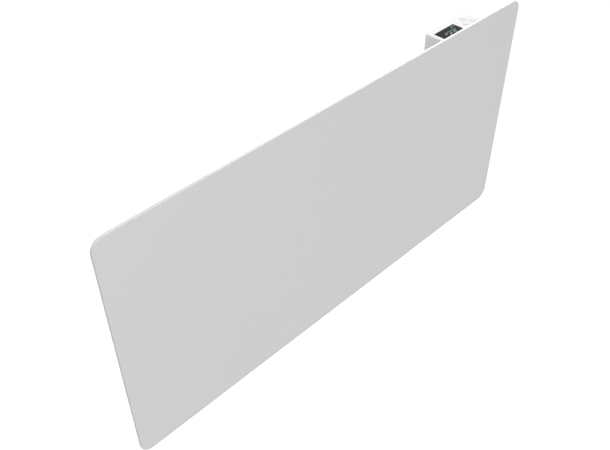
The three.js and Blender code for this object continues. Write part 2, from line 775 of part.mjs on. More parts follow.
function makeTerminals() {
  const width = 30;
  const rearY = CASING_INNER_REAR_Y - SEAT;
  const frontY = rearY - 13;
  const low = BLOCK_Z - 7;
  const high = BLOCK_Z + 7;
  let body = solid(block([BLOCK_X - width / 2, frontY, low], [BLOCK_X + width / 2, rearY, high]));
  const step = 4;
  body = cut(
    body,
    block([BLOCK_X - width, frontY - 1, low - 1], [BLOCK_X + width, frontY + step, low + 3.5]),
    block([BLOCK_X - width, frontY - 1, high - 3.5], [BLOCK_X + width, frontY + step, high + 1]),
  );
  for (const x of [-10, 0, 10]) {
    const well = prismY(circle(BLOCK_X + x, BLOCK_Z, 2.4), frontY - 1, frontY + 5, { segments: 3 });
    body = cut(body, well);
  }
  piece(heater, 'terminal_block', body, GREY_PLASTIC);

  const lugY = rearY;
  const sheet = 0.8;
  const lug = cut(
    join(
      prismY(circle(EARTH_X, EARTH_Z, 5), lugY - sheet, lugY, { segments: 5 }),
      block([EARTH_X - 2.5, lugY - sheet, EARTH_Z], [EARTH_X + 2.5, lugY, EARTH_Z + 9]),
      block([EARTH_X - 2.5, lugY - 4.4, EARTH_Z + 8.4], [EARTH_X + 2.5, lugY, EARTH_Z + 14]),
    ),
    prismY(circle(EARTH_X, EARTH_Z, 2.2), lugY - 2, lugY + 1, { segments: 4 }),
  );
  piece(heater, 'earth_lug', lug, ZINC_STEEL);
  const screw = piece(heater, 'earth_screw', panHeadScrew(0.9), STEEL);
  screw.position.set(EARTH_X, lugY - sheet - 0.2, EARTH_Z);
  screw.rotation.x = Math.PI / 2;
}

// Wires between the terminal block, the cut-out, the element and the earth terminal

function wire(name, points, material, radius = WIRE_RADIUS, steps = 26) {
  const path = new THREE.CatmullRomCurve3(points.map((point) => new THREE.Vector3(...point)));
  path.curveType = 'centripetal';
  const sides = 5;
  const section = outline(Array.from({ length: sides }, (_, corner) => {
    const angle = corner * 2 * Math.PI / sides;
    return [radius * Math.cos(angle), radius * Math.sin(angle)];
  }));
  const tube = new THREE.ExtrudeGeometry(section, { steps, extrudePath: path });
  piece(heater, name, tube, material);
}

function makeWires() {
  const blockBottom = BLOCK_Z - 7 - SEAT;
  const blockTop = BLOCK_Z + 7 + SEAT;
  const blockY = CASING_INNER_REAR_Y - SEAT - 5;
  const lugY = CASING_INNER_REAR_Y - SEAT - 2.2;
  const bladeTop = ELEMENT_Z + WING_REACH + 2.2 + 17 + SEAT;
  const leftPin = WING_LEFT_X - PIN_OVERHANG - SEAT;
  const rightPin = WING_RIGHT_X + PIN_OVERHANG + SEAT;
  wire('neutral_wire', [
    [BLOCK_X - 10, blockY, blockBottom],
    [BLOCK_X - 10, blockY, blockBottom - 5],
    [BLOCK_X - 18, blockY - 1, blockBottom - 12],
    [BLOCK_X - 60, blockY - 2, 3],
    [0, blockY - 3, 0],
    [-150, blockY - 3, 1],
    [leftPin + 12, blockY - 4, -4],
    [leftPin - 11, blockY - 8, -26],
    [leftPin - 12, ELEMENT_Y + 2, -55],
    [leftPin - 8, ELEMENT_Y, -68],
    [leftPin - 3, ELEMENT_Y, ELEMENT_Z],
    [leftPin, ELEMENT_Y, ELEMENT_Z],
  ], NEUTRAL_WIRE, WIRE_RADIUS, 34);
  wire('earth_wire', [
    [BLOCK_X, blockY, blockBottom],
    [BLOCK_X, blockY, blockBottom - 4],
    [EARTH_X, lugY, EARTH_Z + 19],
    [EARTH_X, lugY, EARTH_Z + 14 + SEAT],
  ], EARTH_WIRE, WIRE_RADIUS, 8);
  wire('live_wire', [
    [BLOCK_X + 10, blockY, blockBottom],
    [BLOCK_X + 10, blockY, blockBottom - 4],
    [BLOCK_X + 7, blockY - 9, blockBottom - 14],
    [BLOCK_X - 18, ELEMENT_Y + 2, -4],
    [CUTOUT_X + 4, ELEMENT_Y, -6],
    [CUTOUT_X - 4.5, ELEMENT_Y, bladeTop + 10],
    [CUTOUT_X - 4.5, ELEMENT_Y, bladeTop],
  ], LIVE_WIRE, WIRE_RADIUS, 18);
  wire('cutout_wire', [
    [CUTOUT_X + 4.5, ELEMENT_Y, bladeTop],
    [CUTOUT_X + 4.5, ELEMENT_Y, bladeTop + 4],
    [CUTOUT_X + 14, ELEMENT_Y - 6, bladeTop + 6],
    [CUTOUT_X + 40, ELEMENT_Y - 10, bladeTop - 2],
    [rightPin - 5, ELEMENT_Y - 12, -42],
    [rightPin + 17, ELEMENT_Y - 6, -52],
    [rightPin + 15, ELEMENT_Y, -68],
    [rightPin + 6, ELEMENT_Y, ELEMENT_Z],
    [rightPin, ELEMENT_Y, ELEMENT_Z],
  ], LIVE_WIRE, WIRE_RADIUS, 26);
  wire('control_lead', [
    [BLOCK_X + 4, blockY, blockTop],
    [BLOCK_X + 4, blockY, blockTop + 9],
    [BLOCK_X + 16, blockY - 8, blockTop + 9],
    [BLOCK_X + 24, CONTROL_Y, 14],
    [CONTROL_X - 24, CONTROL_Y, 12],
    [CONTROL_X - 20, CONTROL_Y, 22],
    [CONTROL_X - 20, CONTROL_Y, CONTROL_BOTTOM_Z + 9],
  ], DARK_PLASTIC, 2.4, 20);
}

// Control unit: pot, cap, display, keys, boards and switch

function makeControl() {
  const unit = group(heater, CONTROL_X, CONTROL_Y, 0);
  const width = CONTROL_WIDTH;
  const depth = CONTROL_DEPTH;

  function plan(inset) {
    return roundedRectangle(
      -width / 2 + inset,
      -depth / 2 + inset,
      width - 2 * inset,
      depth - 2 * inset,
      Math.max(CONTROL_CORNER_RADIUS - inset, CONTROL_LEAST_RADIUS),
    );
  }

  const potTopZ = CAP_BOTTOM_Z - 0.5;
  const potInset = 0.5;
  let pot = cut(
    prismZ(plan(potInset), CONTROL_BOTTOM_Z, potTopZ, { segments: 3 }),
    prismZ(plan(potInset + 1.8), CONTROL_BOTTOM_Z + 1.8, potTopZ + 1, { segments: 2 }),
  );
  pot = cut(pot, prismZ(circle(-20, 0, 3.4), CONTROL_BOTTOM_Z - 1, CONTROL_BOTTOM_Z + 3));
  piece(unit, 'control_housing', pot, WHITE_PLASTIC);

  let cap = solid(prismZ(plan(0), CAP_BOTTOM_Z - 10, CAP_TOP_Z, { edge: CAP_EDGE_RADIUS, segments: 4 }));
  cap = cut(
    cap,
    block([-width, -depth, CAP_BOTTOM_Z - 20], [width, depth, CAP_BOTTOM_Z]),
    prismZ(plan(CAP_WALL), CAP_BOTTOM_Z - 10, CAP_TOP_Z - CAP_WALL),
    prismZ(windowPlan(0.25), CAP_TOP_Z - WINDOW_THICKNESS - 0.2, CAP_TOP_Z + 1, { segments: 2 }),
    prismZ(windowPlan(-3), CAP_TOP_Z - CAP_WALL - 1, CAP_TOP_Z, { segments: 1 }),
  );
  for (const [x, y] of Object.values(KEY_PLACES)) {
    const bore = circle(x, y, KEY_RADIUS + SEAT);
    const hole = prismZ(bore, CAP_TOP_Z - CAP_WALL - 1, CAP_TOP_Z + 1, { segments: 7 });
    cap = cut(cap, hole);
  }
  const switchHole = block(
    [width / 2 - CAP_WALL - 1, -SWITCH_LENGTH / 2 - SEAT, SWITCH_Z - SWITCH_HEIGHT / 2 - SEAT],
    [width / 2 + 1, SWITCH_LENGTH / 2 + SEAT, SWITCH_Z + SWITCH_HEIGHT / 2 + SEAT],
  );
  cap = cut(cap, switchHole);
  piece(unit, 'control_cap', cap, WHITE_PLASTIC);

  makeDisplay(unit);
  makeKeys(unit);
  makeSwitch(unit);
  makeBoard(unit);
}

function windowPlan(grow) {
  return roundedRectangle(
    WINDOW_X - WINDOW_WIDTH / 2 - grow,
    WINDOW_Y - WINDOW_DEPTH / 2 - grow,
    WINDOW_WIDTH + 2 * grow,
    WINDOW_DEPTH + 2 * grow,
    1.6,
  );
}

function makeDisplay(unit) {
  const window = prismZ(windowPlan(0), CAP_TOP_Z - WINDOW_THICKNESS, CAP_TOP_Z, { edge: 0.25, segments: 2, edgeSegments: 1 });
  piece(unit, 'display_window', window, BLACK_GLOSS);

  const module = join(
    prismZ(windowPlan(-1.2), BOARD_TOP_Z + SEAT, CAP_TOP_Z - CAP_WALL - SEAT, { segments: 1 }),
    prismZ(windowPlan(-3.4), CAP_TOP_Z - CAP_WALL - 2, CAP_TOP_Z - WINDOW_THICKNESS - 0.4, { segments: 1 }),
  );
  piece(unit, 'display_module', module, DARK_PLASTIC);

  const halfWidth = CONTROL_WIDTH / 2 - CAP_WALL - 0.5;
  const halfDepth = CONTROL_DEPTH / 2 - CAP_WALL - 0.5;
  const board = roundedRectangle(-halfWidth, -halfDepth, 2 * halfWidth, 2 * halfDepth, 3);
  let boardSolid = solid(prismZ(board, BOARD_TOP_Z - BOARD_THICKNESS, BOARD_TOP_Z, { segments: 2 }));
  for (const [x, y] of Object.values(KEY_PLACES)) {
    boardSolid = join(
      boardSolid,
      block([x - 3, y - 3, BOARD_TOP_Z - 0.5], [x + 3, y + 3, BOARD_TOP_Z + 2.5]),
      prismZ(circle(x, y, 1.6), BOARD_TOP_Z + 2, BOARD_TOP_Z + 3, { segments: 3 }),
    );
  }
  piece(unit, 'display_board', boardSolid, CIRCUIT_BOARD);
}

// Each key is a dished button with a collar that keeps it in and a stem down to its switch
function makeKeys(unit) {
  const stemBottom = BOARD_TOP_Z + 4;
  const collarTop = CAP_TOP_Z - CAP_WALL - SEAT;
  const top = CAP_TOP_Z + KEY_STAND;
  for (const [name, [x, y]] of Object.entries(KEY_PLACES)) {
    const key = turned([
      [0, stemBottom],
      [1.5, stemBottom],
      [1.5, collarTop - 1.2],
      [KEY_RADIUS + 0.8, collarTop - 1.2],
      [KEY_RADIUS + 0.8, collarTop],
      [KEY_RADIUS, collarTop],
      [KEY_RADIUS, top - 0.4],
      [KEY_RADIUS - 0.4, top],
      [0, top - 0.35],
    ], 12);
    piece(unit, name, key, WHITE_PLASTIC).position.set(x, y, 0);
  }
}

function makeSwitch(unit) {
  const wallX = CONTROL_WIDTH / 2;
  const bezelY = SWITCH_LENGTH / 2 + 1.2;
  const bezelZ = SWITCH_HEIGHT / 2 + 1.2;
  const bezel = roundedRectangle(-bezelY, SWITCH_Z - bezelZ, 2 * bezelY, 2 * bezelZ, 1);
  const wellY = 7.9;
  const wellZ = 4.9;
  const frame = cut(
    join(
      prismX(bezel, wallX + 0.2, wallX + 1.9, { segments: 3 }),
      block(
        [wallX - 15, -SWITCH_LENGTH / 2, SWITCH_Z - SWITCH_HEIGHT / 2],
        [wallX + 0.6, SWITCH_LENGTH / 2, SWITCH_Z + SWITCH_HEIGHT / 2],
      ),
      block([wallX - 21, -6.5, SWITCH_Z - 2.4], [wallX - 14.5, -5.7, SWITCH_Z + 2.4]),
      block([wallX - 21, 1.2, SWITCH_Z - 2.4], [wallX - 14.5, 2, SWITCH_Z + 2.4]),
    ),
    block([wallX - 8, -wellY, SWITCH_Z - wellZ], [wallX + 3, wellY, SWITCH_Z + wellZ]),
  );
  piece(unit, 'switch_frame', frame, DARK_PLASTIC);

  const half = 6.9;
  const rocker = new THREE.Shape();
  rocker.moveTo(1.6, -half);
  rocker.lineTo(4.2, -half);
  rocker.quadraticCurveTo(4.6, -2, 5.2, 0);
  rocker.quadraticCurveTo(4.6, 2, 4.2, half);
  rocker.lineTo(1.6, half);
  rocker.lineTo(-1.2, 2);
  rocker.absarc(0, 0, 2.3, Math.PI * 0.65, Math.PI * 1.35);
  rocker.lineTo(-1.2, -2);
  const pivot = group(unit, ROCKER_PIVOT_X, 0, SWITCH_Z);
  pivot.rotation.z = -ROCKER_TILT;
  const body = prismZ(rocker, -wellZ + SEAT, wellZ - SEAT, { segments: 3 });
  piece(pivot, 'switch_rocker', body, DARK_PLASTIC);
}

// Power board in the pot with its relay, supply block and capacitor
function makeBoard(unit) {
  function slab({ left, bottom, width, height, corner }, frontY, rearY) {
    const face = roundedRectangle(left, bottom, width, height, corner);
    return prismY(face, frontY, rearY, { segments: 2 });
  }

  const board = slab(POWER_BOARD, POWER_BOARD_FRONT_Y, POWER_BOARD_FRONT_Y + BOARD_THICKNESS);
  piece(unit, 'power_board', board, CIRCUIT_BOARD);
  const faceY = POWER_BOARD_FRONT_Y - SEAT;
  piece(unit, 'power_relay', slab(RELAY, faceY - RELAY_DEPTH, faceY), DARK_PLASTIC);
  piece(unit, 'supply_block', slab(SUPPLY, faceY - SUPPLY_DEPTH, faceY), DARK_PLASTIC);

  const capacitor = turned([
    [0, 0],
    [5, 0],
    [5, 1.2],
    [4.6, 1.8],
    [5, 2.4],
    [5, 15],
    [4.4, 15.6],
    [0, 15.6],
  ], 12);
  const can = piece(unit, 'supply_capacitor', capacitor, RUBBER);
  can.position.set(CAPACITOR_X, faceY, CAPACITOR_Z);
  can.rotation.x = Math.PI / 2;
}

// Cord entry and room sensor in the bottom wall

function makeBottomFittings() {
  const unit = group(heater, GLAND_X, AIR_SLOT_Y, CASING_BOTTOM_Z);
  const gland = turned([
    [GLAND_BORE_RADIUS, -13],
    [6.5, -13],
    [8.2, -11],
    [8.8, -5.5],
    [10.5, -5.2],
    [10.5, -SEAT],
    [GLAND_THREAD_RADIUS, -SEAT],
    [GLAND_THREAD_RADIUS, 9],
    [GLAND_BORE_RADIUS, 9],
    [GLAND_BORE_RADIUS, -13],
  ], 14);
  piece(unit, 'cord_gland', gland, GREY_PLASTIC);

  const hexagon = cut(
    prismZ(
      outline(Array.from({ length: 6 }, (_, corner) => {
        const angle = corner * Math.PI / 3;
        return [12 * Math.cos(angle), 12 * Math.sin(angle)];
      })),
      CASING_WALL + SEAT,
      CASING_WALL + SEAT + 5,
    ),
    prismZ(circle(0, 0, GLAND_THREAD_RADIUS + SEAT), 0, 10, { segments: 7 }),
  );
  piece(unit, 'gland_nut', hexagon, GREY_PLASTIC);

  const probe = turned([
    [0, -7],
    [1.6, -6.4],
    [2.5, -4.8],
    [2.8, -1],
    [2.8, 1.4],
    [5, 1.4],
    [5, 3],
    [2.4, 3],
    [2, 8],
    [0, 8],
  ], 10);
  piece(heater, 'room_sensor', probe, WHITE_PLASTIC).position.set(SENSOR_X, AIR_SLOT_Y, CASING_BOTTOM_Z);
}

// Wall bracket: two channelled legs with hooks, and a cross plate between them

function makeBracket() {
  const sheet = BRACKET_SHEET;
  const inner = LEG_OUTER_X - LEG_WIDTH;
  let bracket = solid(prismY(
    roundedRectangle(-inner - 2, -CROSS_PLATE_HALF_HEIGHT, 2 * inner + 4, 2 * CROSS_PLATE_HALF_HEIGHT, 0.5),
    -sheet,
    0,
  ));
  for (const sign of [-1, 1]) {
    const edge = sign * (CROSS_PLATE_HALF_HEIGHT - sheet / 2);
    bracket = join(bracket, block(
      [-inner, -CROSS_PLATE_LIP, edge - sheet / 2],
      [inner, 0, edge + sheet / 2],
    ));
    for (const x of CROSS_HOLE_PLACES) {
      const hole = circle(sign * x, 0, CROSS_HOLE_RADIUS);
      bracket = cut(bracket, prismY(hole, -sheet - 1, 1, { segments: 7 }));
    }
    bracket = bracket.add(bracketLeg(sign));
  }
  piece(heater, 'wall_bracket', bracket, WHITE_ENAMEL);
}

function bracketLeg(sign) {
  const sheet = BRACKET_SHEET;
  const inner = LEG_OUTER_X - LEG_WIDTH;
  const web = roundedRectangle(inner, LEG_BOTTOM_Z, LEG_WIDTH, LEG_TOP_Z - LEG_BOTTOM_Z, 1);
  const armBottomZ = HOOK_FLOOR_Z - HOOK_ARM_HEIGHT;
  const tongueMiddleY = (HOOK_TONGUE_FRONT_Y + HOOK_TONGUE_REAR_Y) / 2;
  const side = new THREE.Shape();
  side.moveTo(0, LEG_BOTTOM_Z);
  side.lineTo(-20, LEG_BOTTOM_Z);
  side.quadraticCurveTo(-27, armBottomZ, FLANGE_FRONT_Y, armBottomZ);
  side.lineTo(HOOK_TONGUE_FRONT_Y + 3, armBottomZ);
  side.quadraticCurveTo(HOOK_TONGUE_FRONT_Y, armBottomZ, HOOK_TONGUE_FRONT_Y, armBottomZ + 4);
  side.lineTo(HOOK_TONGUE_FRONT_Y, HOOK_TONGUE_TOP_Z - 2);
  side.quadraticCurveTo(tongueMiddleY, HOOK_TONGUE_TOP_Z + 2, HOOK_TONGUE_REAR_Y, HOOK_TONGUE_TOP_Z - 2);
  side.lineTo(HOOK_TONGUE_REAR_Y, HOOK_FLOOR_Z);
  side.lineTo(FLANGE_FRONT_Y, HOOK_FLOOR_Z);
  side.lineTo(FLANGE_FRONT_Y, LEG_TOP_Z - 12);
  side.quadraticCurveTo(FLANGE_FRONT_Y, LEG_TOP_Z, FLANGE_FRONT_Y + 12, LEG_TOP_Z);
  side.lineTo(0, LEG_TOP_Z);

  let leg = join(
    prismY(web, -sheet, 0, { segments: 1 }),
    prismX(side, LEG_OUTER_X - sheet, LEG_OUTER_X, { segments: 3 }),
    block([inner, -10, LEG_BOTTOM_Z + 6], [inner + sheet, 0, LEG_TOP_Z - 6]),
  );
  const slotHalf = LATCH_PIN_RADIUS + 0.25;
  const guide = roundedRectangle(
    LATCH_PIN_Y - slotHalf,
    LATCH_PIN_Z - LATCH_TRAVEL - LATCH_PIN_RADIUS - SEAT,
    2 * slotHalf,
    LATCH_TRAVEL + 2 * (LATCH_PIN_RADIUS + SEAT),
    slotHalf,
  );
  leg = cut(leg, prismX(guide, LEG_OUTER_X - sheet - 1, LEG_OUTER_X + 1, { segments: 2 }));
  for (const bottom of FLANGE_WINDOW_BOTTOMS) {
    const window = roundedRectangle(
      FLANGE_WINDOW_FRONT_Y,
      bottom,
      FLANGE_WINDOW_REAR_Y - FLANGE_WINDOW_FRONT_Y,
      FLANGE_WINDOW_HEIGHT,
      FLANGE_WINDOW_RADIUS,
    );
    leg = cut(leg, prismX(window, LEG_OUTER_X - sheet - 1, LEG_OUTER_X + 1, { segments: 2 }));
  }

  const holeX = inner + LEG_WIDTH / 2;
  for (const z of KEYHOLE_ROWS) {
    const slot = roundedRectangle(
      holeX - KEYHOLE_SLOT_RADIUS,
      z - KEYHOLE_SLOT_RADIUS,
      2 * KEYHOLE_SLOT_RADIUS,
      KEYHOLE_SLOT_RISE + 2 * KEYHOLE_SLOT_RADIUS,
      KEYHOLE_SLOT_RADIUS,
    );
    leg = cut(
      leg,
      prismY(slot, -sheet - 1, 1, { segments: 2 }),
      prismY(circle(holeX, z, KEYHOLE_HEAD_RADIUS), -sheet - 1, 1, { segments: 5 }),
    );
  }
  return sign < 0 ? leg.mirror([1, 0, 0]) : leg;
}

// Sliding latches: a bridge over the leg's flange, held by a pin in its slot, with a nose in front

function makeLatches() {
  const flangeInner = LEG_OUTER_X - BRACKET_SHEET - SEAT;
  const flangeOuter = LEG_OUTER_X + SEAT;
  const cheek = 3.2;
  const noseRight = 198.6;
  const cheekBottom = LATCH_PIN_Z - 4;
  const sidePlate = roundedRectangle(
    LATCH_FRONT_Y + 4,
    cheekBottom,
    LATCH_REAR_Y - LATCH_FRONT_Y - 4,
    LATCH_TOP_Z - cheekBottom,
    1.5,
  );
  const nosePlate = new THREE.Shape();
  nosePlate.moveTo(LATCH_FRONT_Y, LATCH_NOSE_BOTTOM_Z + 1.5);
  nosePlate.lineTo(LATCH_FRONT_Y + 1.2, LATCH_NOSE_BOTTOM_Z);
  nosePlate.lineTo(LATCH_NOSE_REAR_Y - 1.2, LATCH_NOSE_BOTTOM_Z);
  nosePlate.lineTo(LATCH_NOSE_REAR_Y, LATCH_NOSE_BOTTOM_Z + 1.5);
  nosePlate.lineTo(LATCH_NOSE_REAR_Y, cheekBottom + 2);
  nosePlate.quadraticCurveTo(LATCH_NOSE_REAR_Y + 1, cheekBottom + 6, LATCH_NOSE_REAR_Y + 7, cheekBottom + 8);
  nosePlate.lineTo(LATCH_NOSE_REAR_Y + 7, LATCH_TOP_Z);
  nosePlate.lineTo(LATCH_FRONT_Y, LATCH_TOP_Z);

  let latch = join(
    prismX(sidePlate, flangeInner - cheek, flangeInner, { segments: 1 }),
    prismX(sidePlate, flangeOuter, flangeOuter + cheek, { segments: 1 }),
    prismX(nosePlate, flangeOuter + cheek - 0.5, noseRight, { segments: 2 }),
    block([flangeInner - cheek, LATCH_FRONT_Y, LATCH_BRIDGE_Z], [noseRight, LATCH_REAR_Y, LATCH_TOP_Z]),
    rodX(LATCH_PIN_RADIUS, flangeInner - 1, flangeOuter + 1, 10).translate(0, LATCH_PIN_Y, LATCH_PIN_Z),
  );
  const ridgeWidth = 1.6;
  for (const y of stations(LATCH_FRONT_Y + 3, LATCH_REAR_Y - 3, 6)) {
    latch = join(latch, block(
      [flangeInner - cheek + 1, y, LATCH_TOP_Z - 0.5],
      [noseRight - 1, y + ridgeWidth, LATCH_TOP_Z + 1],
    ));
  }
  for (const [side, sign] of SIDES) {
    piece(heater, `latch_${side}`, onSide(latch, sign), GREY_PLASTIC);
  }
}

makeGlass();
makeBonds();
makeFrontPlate();
makeCasing();
makeCasingScrews();
makeKeepers();
makeElement();
makeHeatShield();
makeCutout();
makeTerminals();
makeWires();
makeControl();
makeBottomFittings();
makeBracket();
makeLatches();

export default heater;
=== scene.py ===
# Looks of the glass panel heater: its white glass front, the control unit that looks over the
# glass's top edge, the pressed steel casing behind, and the bracket that it hangs on.
# Lengths are metres, in the part's own frame: X along the glass, Z up, the wall at Y = 0.

import json
import math

import bmesh
import bpy
from mathutils import Matrix, Vector


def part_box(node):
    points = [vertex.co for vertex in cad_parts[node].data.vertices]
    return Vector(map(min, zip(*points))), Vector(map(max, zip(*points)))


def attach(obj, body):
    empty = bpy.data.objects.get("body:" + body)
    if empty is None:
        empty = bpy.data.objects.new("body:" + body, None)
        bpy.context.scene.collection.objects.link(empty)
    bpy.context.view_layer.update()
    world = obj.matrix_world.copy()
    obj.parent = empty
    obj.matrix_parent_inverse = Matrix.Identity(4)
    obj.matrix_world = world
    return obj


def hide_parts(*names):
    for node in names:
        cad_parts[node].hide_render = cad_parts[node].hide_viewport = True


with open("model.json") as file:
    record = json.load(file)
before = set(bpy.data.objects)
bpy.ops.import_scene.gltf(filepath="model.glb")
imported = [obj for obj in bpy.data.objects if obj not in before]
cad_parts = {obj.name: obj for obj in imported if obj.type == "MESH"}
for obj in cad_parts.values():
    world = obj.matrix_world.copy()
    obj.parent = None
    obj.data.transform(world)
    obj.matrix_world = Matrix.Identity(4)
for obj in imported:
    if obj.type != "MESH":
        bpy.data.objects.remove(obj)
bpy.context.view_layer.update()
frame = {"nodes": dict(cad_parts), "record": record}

MM = 0.001


def in_metres(pairs):
    """Turns pairs of lengths that are written in millimetres into metres."""
    return [(first * MM, second * MM) for first, second in pairs]


# Places of the three axes in a vector
X, Y, Z = range(3)
UP = (0, 0, 1)

# Camera of the photograph, solved from the four edges of the glass and the place of the display
PICTURE_WIDTH = 610
CAMERA_PLACE = Vector((-0.55658, -0.58829, 0.65287))
CAMERA_YAW = math.radians(44.345)
CAMERA_PITCH = math.radians(42.044)
CAMERA_ROLL = math.radians(-0.483)
FOCAL_PIXELS = 793.47
SENSOR_WIDTH = 36.0

# Points that are closer than this are one point, and edges this near a plane lie in it
CLOSE = 0.01 * MM

# How far cutters reach: a little past a face, or clear of the whole object
CUTTER_REACH = 1 * MM
FAR = 1.0

# Radius of a long hole's round ends, as a part of its width: just short of a half
ROUND_END = 0.498

# How far sharp edges are broken
EDGE_BREAK = 0.15 * MM
MOULDED_EDGE = 0.3 * MM
SHEET_EDGE = 0.12 * MM
SCREW_EDGE = 0.06 * MM
GLAND_EDGE = 0.12 * MM
BRACKET_EDGE = 0.2 * MM

# Glass front, whose ground rims begin a little inside its faces
GLASS_CORNER = 16 * MM
GLASS_ARRIS = 0.9 * MM
RIM_INSET = 0.1 * MM

# Cap of the control unit, and the lens in it
CAP_CORNER = 2.4 * MM
CAP_INNER_CORNER = 0.6 * MM
CAP_EDGE = 1.0 * MM
CAP_WALL = 2 * MM
LENS_CORNER = 1.2 * MM
LENS_EDGE = 0.2 * MM
LENS_GAP = 0.2 * MM
LENS_FIT = 0.25 * MM
LENS_LEDGE = 3 * MM

# Printed and raised marks
MARK_HEIGHT = 0.12 * MM
MARK_STROKE = 0.5 * MM
RING_SIDES = 24

# Keys
KEY_RADIUS = 4.2 * MM
KEY_GAP = 0.05 * MM
KEY_DISH = 0.22 * MM
KEY_BORE_DEPTH = 5 * MM
KEY_STEM_RADIUS = 1.5 * MM
KEY_COLLAR_RADIUS = 5 * MM
KEY_COLLAR_HEIGHT = 1.2 * MM
KEY_COLLAR_DROP = 2.9 * MM
KEY_RING_RADIUS = 1.7 * MM

# The rounded rim of a key: how far in from its side, and how far down from its top
KEY_RIM = in_metres([(0, 0.62), (0.1, 0.5), (0.3, 0.36), (0.6, 0.24), (0.95, 0.16), (1.3, 0.15)])

# The strokes of the keys' signs, each from one end to the other
KEY_STROKES = {
    "key_minus": [in_metres([(-1.7, 0), (1.7, 0)])],
    "key_plus": [in_metres([(-1.7, 0), (1.7, 0)]), in_metres([(0, -1.7), (0, 1.7)])],
    "key_mode": [in_metres([(0, 0.4), (0, 2.1)])],
}

# Display, read by someone who stands before the glass. Places on it are parts of its
# width and of its depth, from its front left corner.
DIGIT_WIDTH = 4.8 * MM
DIGIT_HEIGHT = 9.4 * MM
DIGIT_STROKE = 0.8 * MM
DIGIT_PLACES = {"digit_tens": ("2", (0.45, 0.34)), "digit_ones": ("3", (0.63, 0.34))}
DEGREE_PLACE = (0.76, 0.50)
DEGREE_RADIUS = 1.0 * MM
DEGREE_STROKE = 0.6 * MM
CLOCK_PLACE = (0.80, 0.80)
CLOCK_RADIUS = 1.1 * MM
CLOCK_STROKE = 0.5 * MM
CLOCK_HAND = 1.0 * MM
CLOCK_HAND_STROKE = 0.4 * MM
SUN_PLACE = (0.92, 0.84)
SUN_RADIUS = 0.6 * MM
SUN_STROKE = 0.6 * MM
LEVEL_PLACE = (0.25, 0.40)
LEVEL_BARS = 3
LEVEL_PITCH = 1.4 * MM
LEVEL_LOWEST = 2.2 * MM
LEVEL_RISE = 1.0 * MM
LEVEL_STROKE = 0.8 * MM

# Rocker switch. Its signs lie this far out from the pivot and this far along its face.
SWITCH_HOLE_INSET = 0.9 * MM
ROCKER_PIVOT = Vector((275.3, -61, 133)) * MM
ROCKER_TILT = math.radians(8)
ROCKER_MARK_OUT = 4.46 * MM
ROCKER_MARK_ALONG = 4.2 * MM
ROCKER_FACE_SLOPE = 0.1145
ROCKER_BAR_REACH = 1.3 * MM
ROCKER_RING_RADIUS = 1.2 * MM

# Casing of sheet steel
SHEET = 1 * MM
CASING_REAR_Y = -36 * MM
CASING_CORNER = 6 * MM
CASING_BEND = 3 * MM
AIR_SLOT_WIDTH = 6 * MM
AIR_SLOT_LENGTH = 32 * MM
AIR_SLOT_PITCH = 18.5 * MM
AIR_SLOT_FIRST_X = -282 * MM
AIR_SLOT_Y = -58 * MM
OUTLET_SLOTS = 25
INLET_SLOTS = 27
LOUVRE_LENGTH = 56 * MM
LOUVRE_HEIGHT = 9 * MM
LOUVRE_DEPTH = 3.6 * MM
LOUVRE_END = 7 * MM
LOUVRE_COLUMNS = [x * MM for x in (-111, -37, 37, 111)]
LOUVRE_ROWS = [z * MM for z in (80, 98)]
HOOK_SLOT_WIDTH = 6 * MM
HOOK_SLOT_HEIGHT = 21.3 * MM
HOOK_SLOT_TOP_Z = -120.7 * MM
HOOK_SLOT_CORNER = 0.8 * MM
GLAND_HOLE = 8.4 * MM
SENSOR_HOLE = 3.2 * MM

# Notch in the casing's upper edge, in which the control unit stands
NOTCH_LEFT_X = 194.5 * MM
NOTCH_RIGHT_X = 278.1 * MM
NOTCH_REAR_Y = -41.5 * MM
NOTCH_FLOOR_Z = 117 * MM
NOTCH_SLACK = 0.5 * MM

# Front plate
PLATE_FRONT_Y = -81.4 * MM
PLATE_BEND = 1.4 * MM
PLATE_BEAD_LENGTH = 500 * MM
PLATE_BEAD_HEIGHT = 10 * MM
PLATE_BEAD_EDGE = 0.7 * MM
PLATE_BEAD_ROWS = [z * MM for z in (58, -82)]

# Screws at the casing's ends
SCREW_PLACES = [(sign, z * MM) for sign in (-1, 1) for z in (80, -105)]
SCREW_Y = -74.4 * MM
SCREW_HEAD_RADIUS = 3.4 * MM
SCREW_HEAD_HEIGHT = 2 * MM
CASING_SCREW_HOLE = 1.7 * MM
PLATE_SCREW_HOLE = 2.2 * MM
SCREW_HOLE_INNER_X = 290 * MM
SCREW_HOLE_OUTER_X = 310 * MM

# A screw from its tip to its head's top: parts of the head's radius, and heights over its seat
SCREW_PROFILE = (
    (0.4, -5.5 * MM), (0.42, 0), (1.0, 0), (1.0, 0.7 * MM),
    (0.94, 1.2 * MM), (0.78, 1.65 * MM), (0.5, 1.93 * MM), (0.2, 2.0 * MM),
)

# Cross recess of a screw, as parts of the head's radius
RECESS_REACH = 0.5
RECESS_HALF_WIDTH = 0.13

# Fittings under the casing: radius, and height above the lowest point
GLAND_PROFILE = in_metres([
    (3.7, 0), (5.6, 0), (6.3, 0.3), (6.7, 0.9), (8.0, 2.2), (8.3, 2.8), (8.8, 7.4),
    (10.1, 7.8), (10.5, 8.2), (10.5, 12.3), (10.1, 12.7), (8, 12.7), (8, 22), (3.7, 22), (3.7, 0),
])
PROBE_PROFILE = in_metres([
    (0.5, 0), (1.3, 0.25), (2.0, 1.0), (2.5, 2.2), (2.75, 4.0), (2.8, 6),
    (2.8, 8.4), (5, 8.4), (5, 10), (2.4, 10), (2, 15),
])
GRIPS = 12
GRIP_RADIUS = 0.7 * MM
GRIP_RING_RADIUS = 8.9 * MM
GRIP_FOOT = 1 * MM
GRIP_LENGTH = 6 * MM

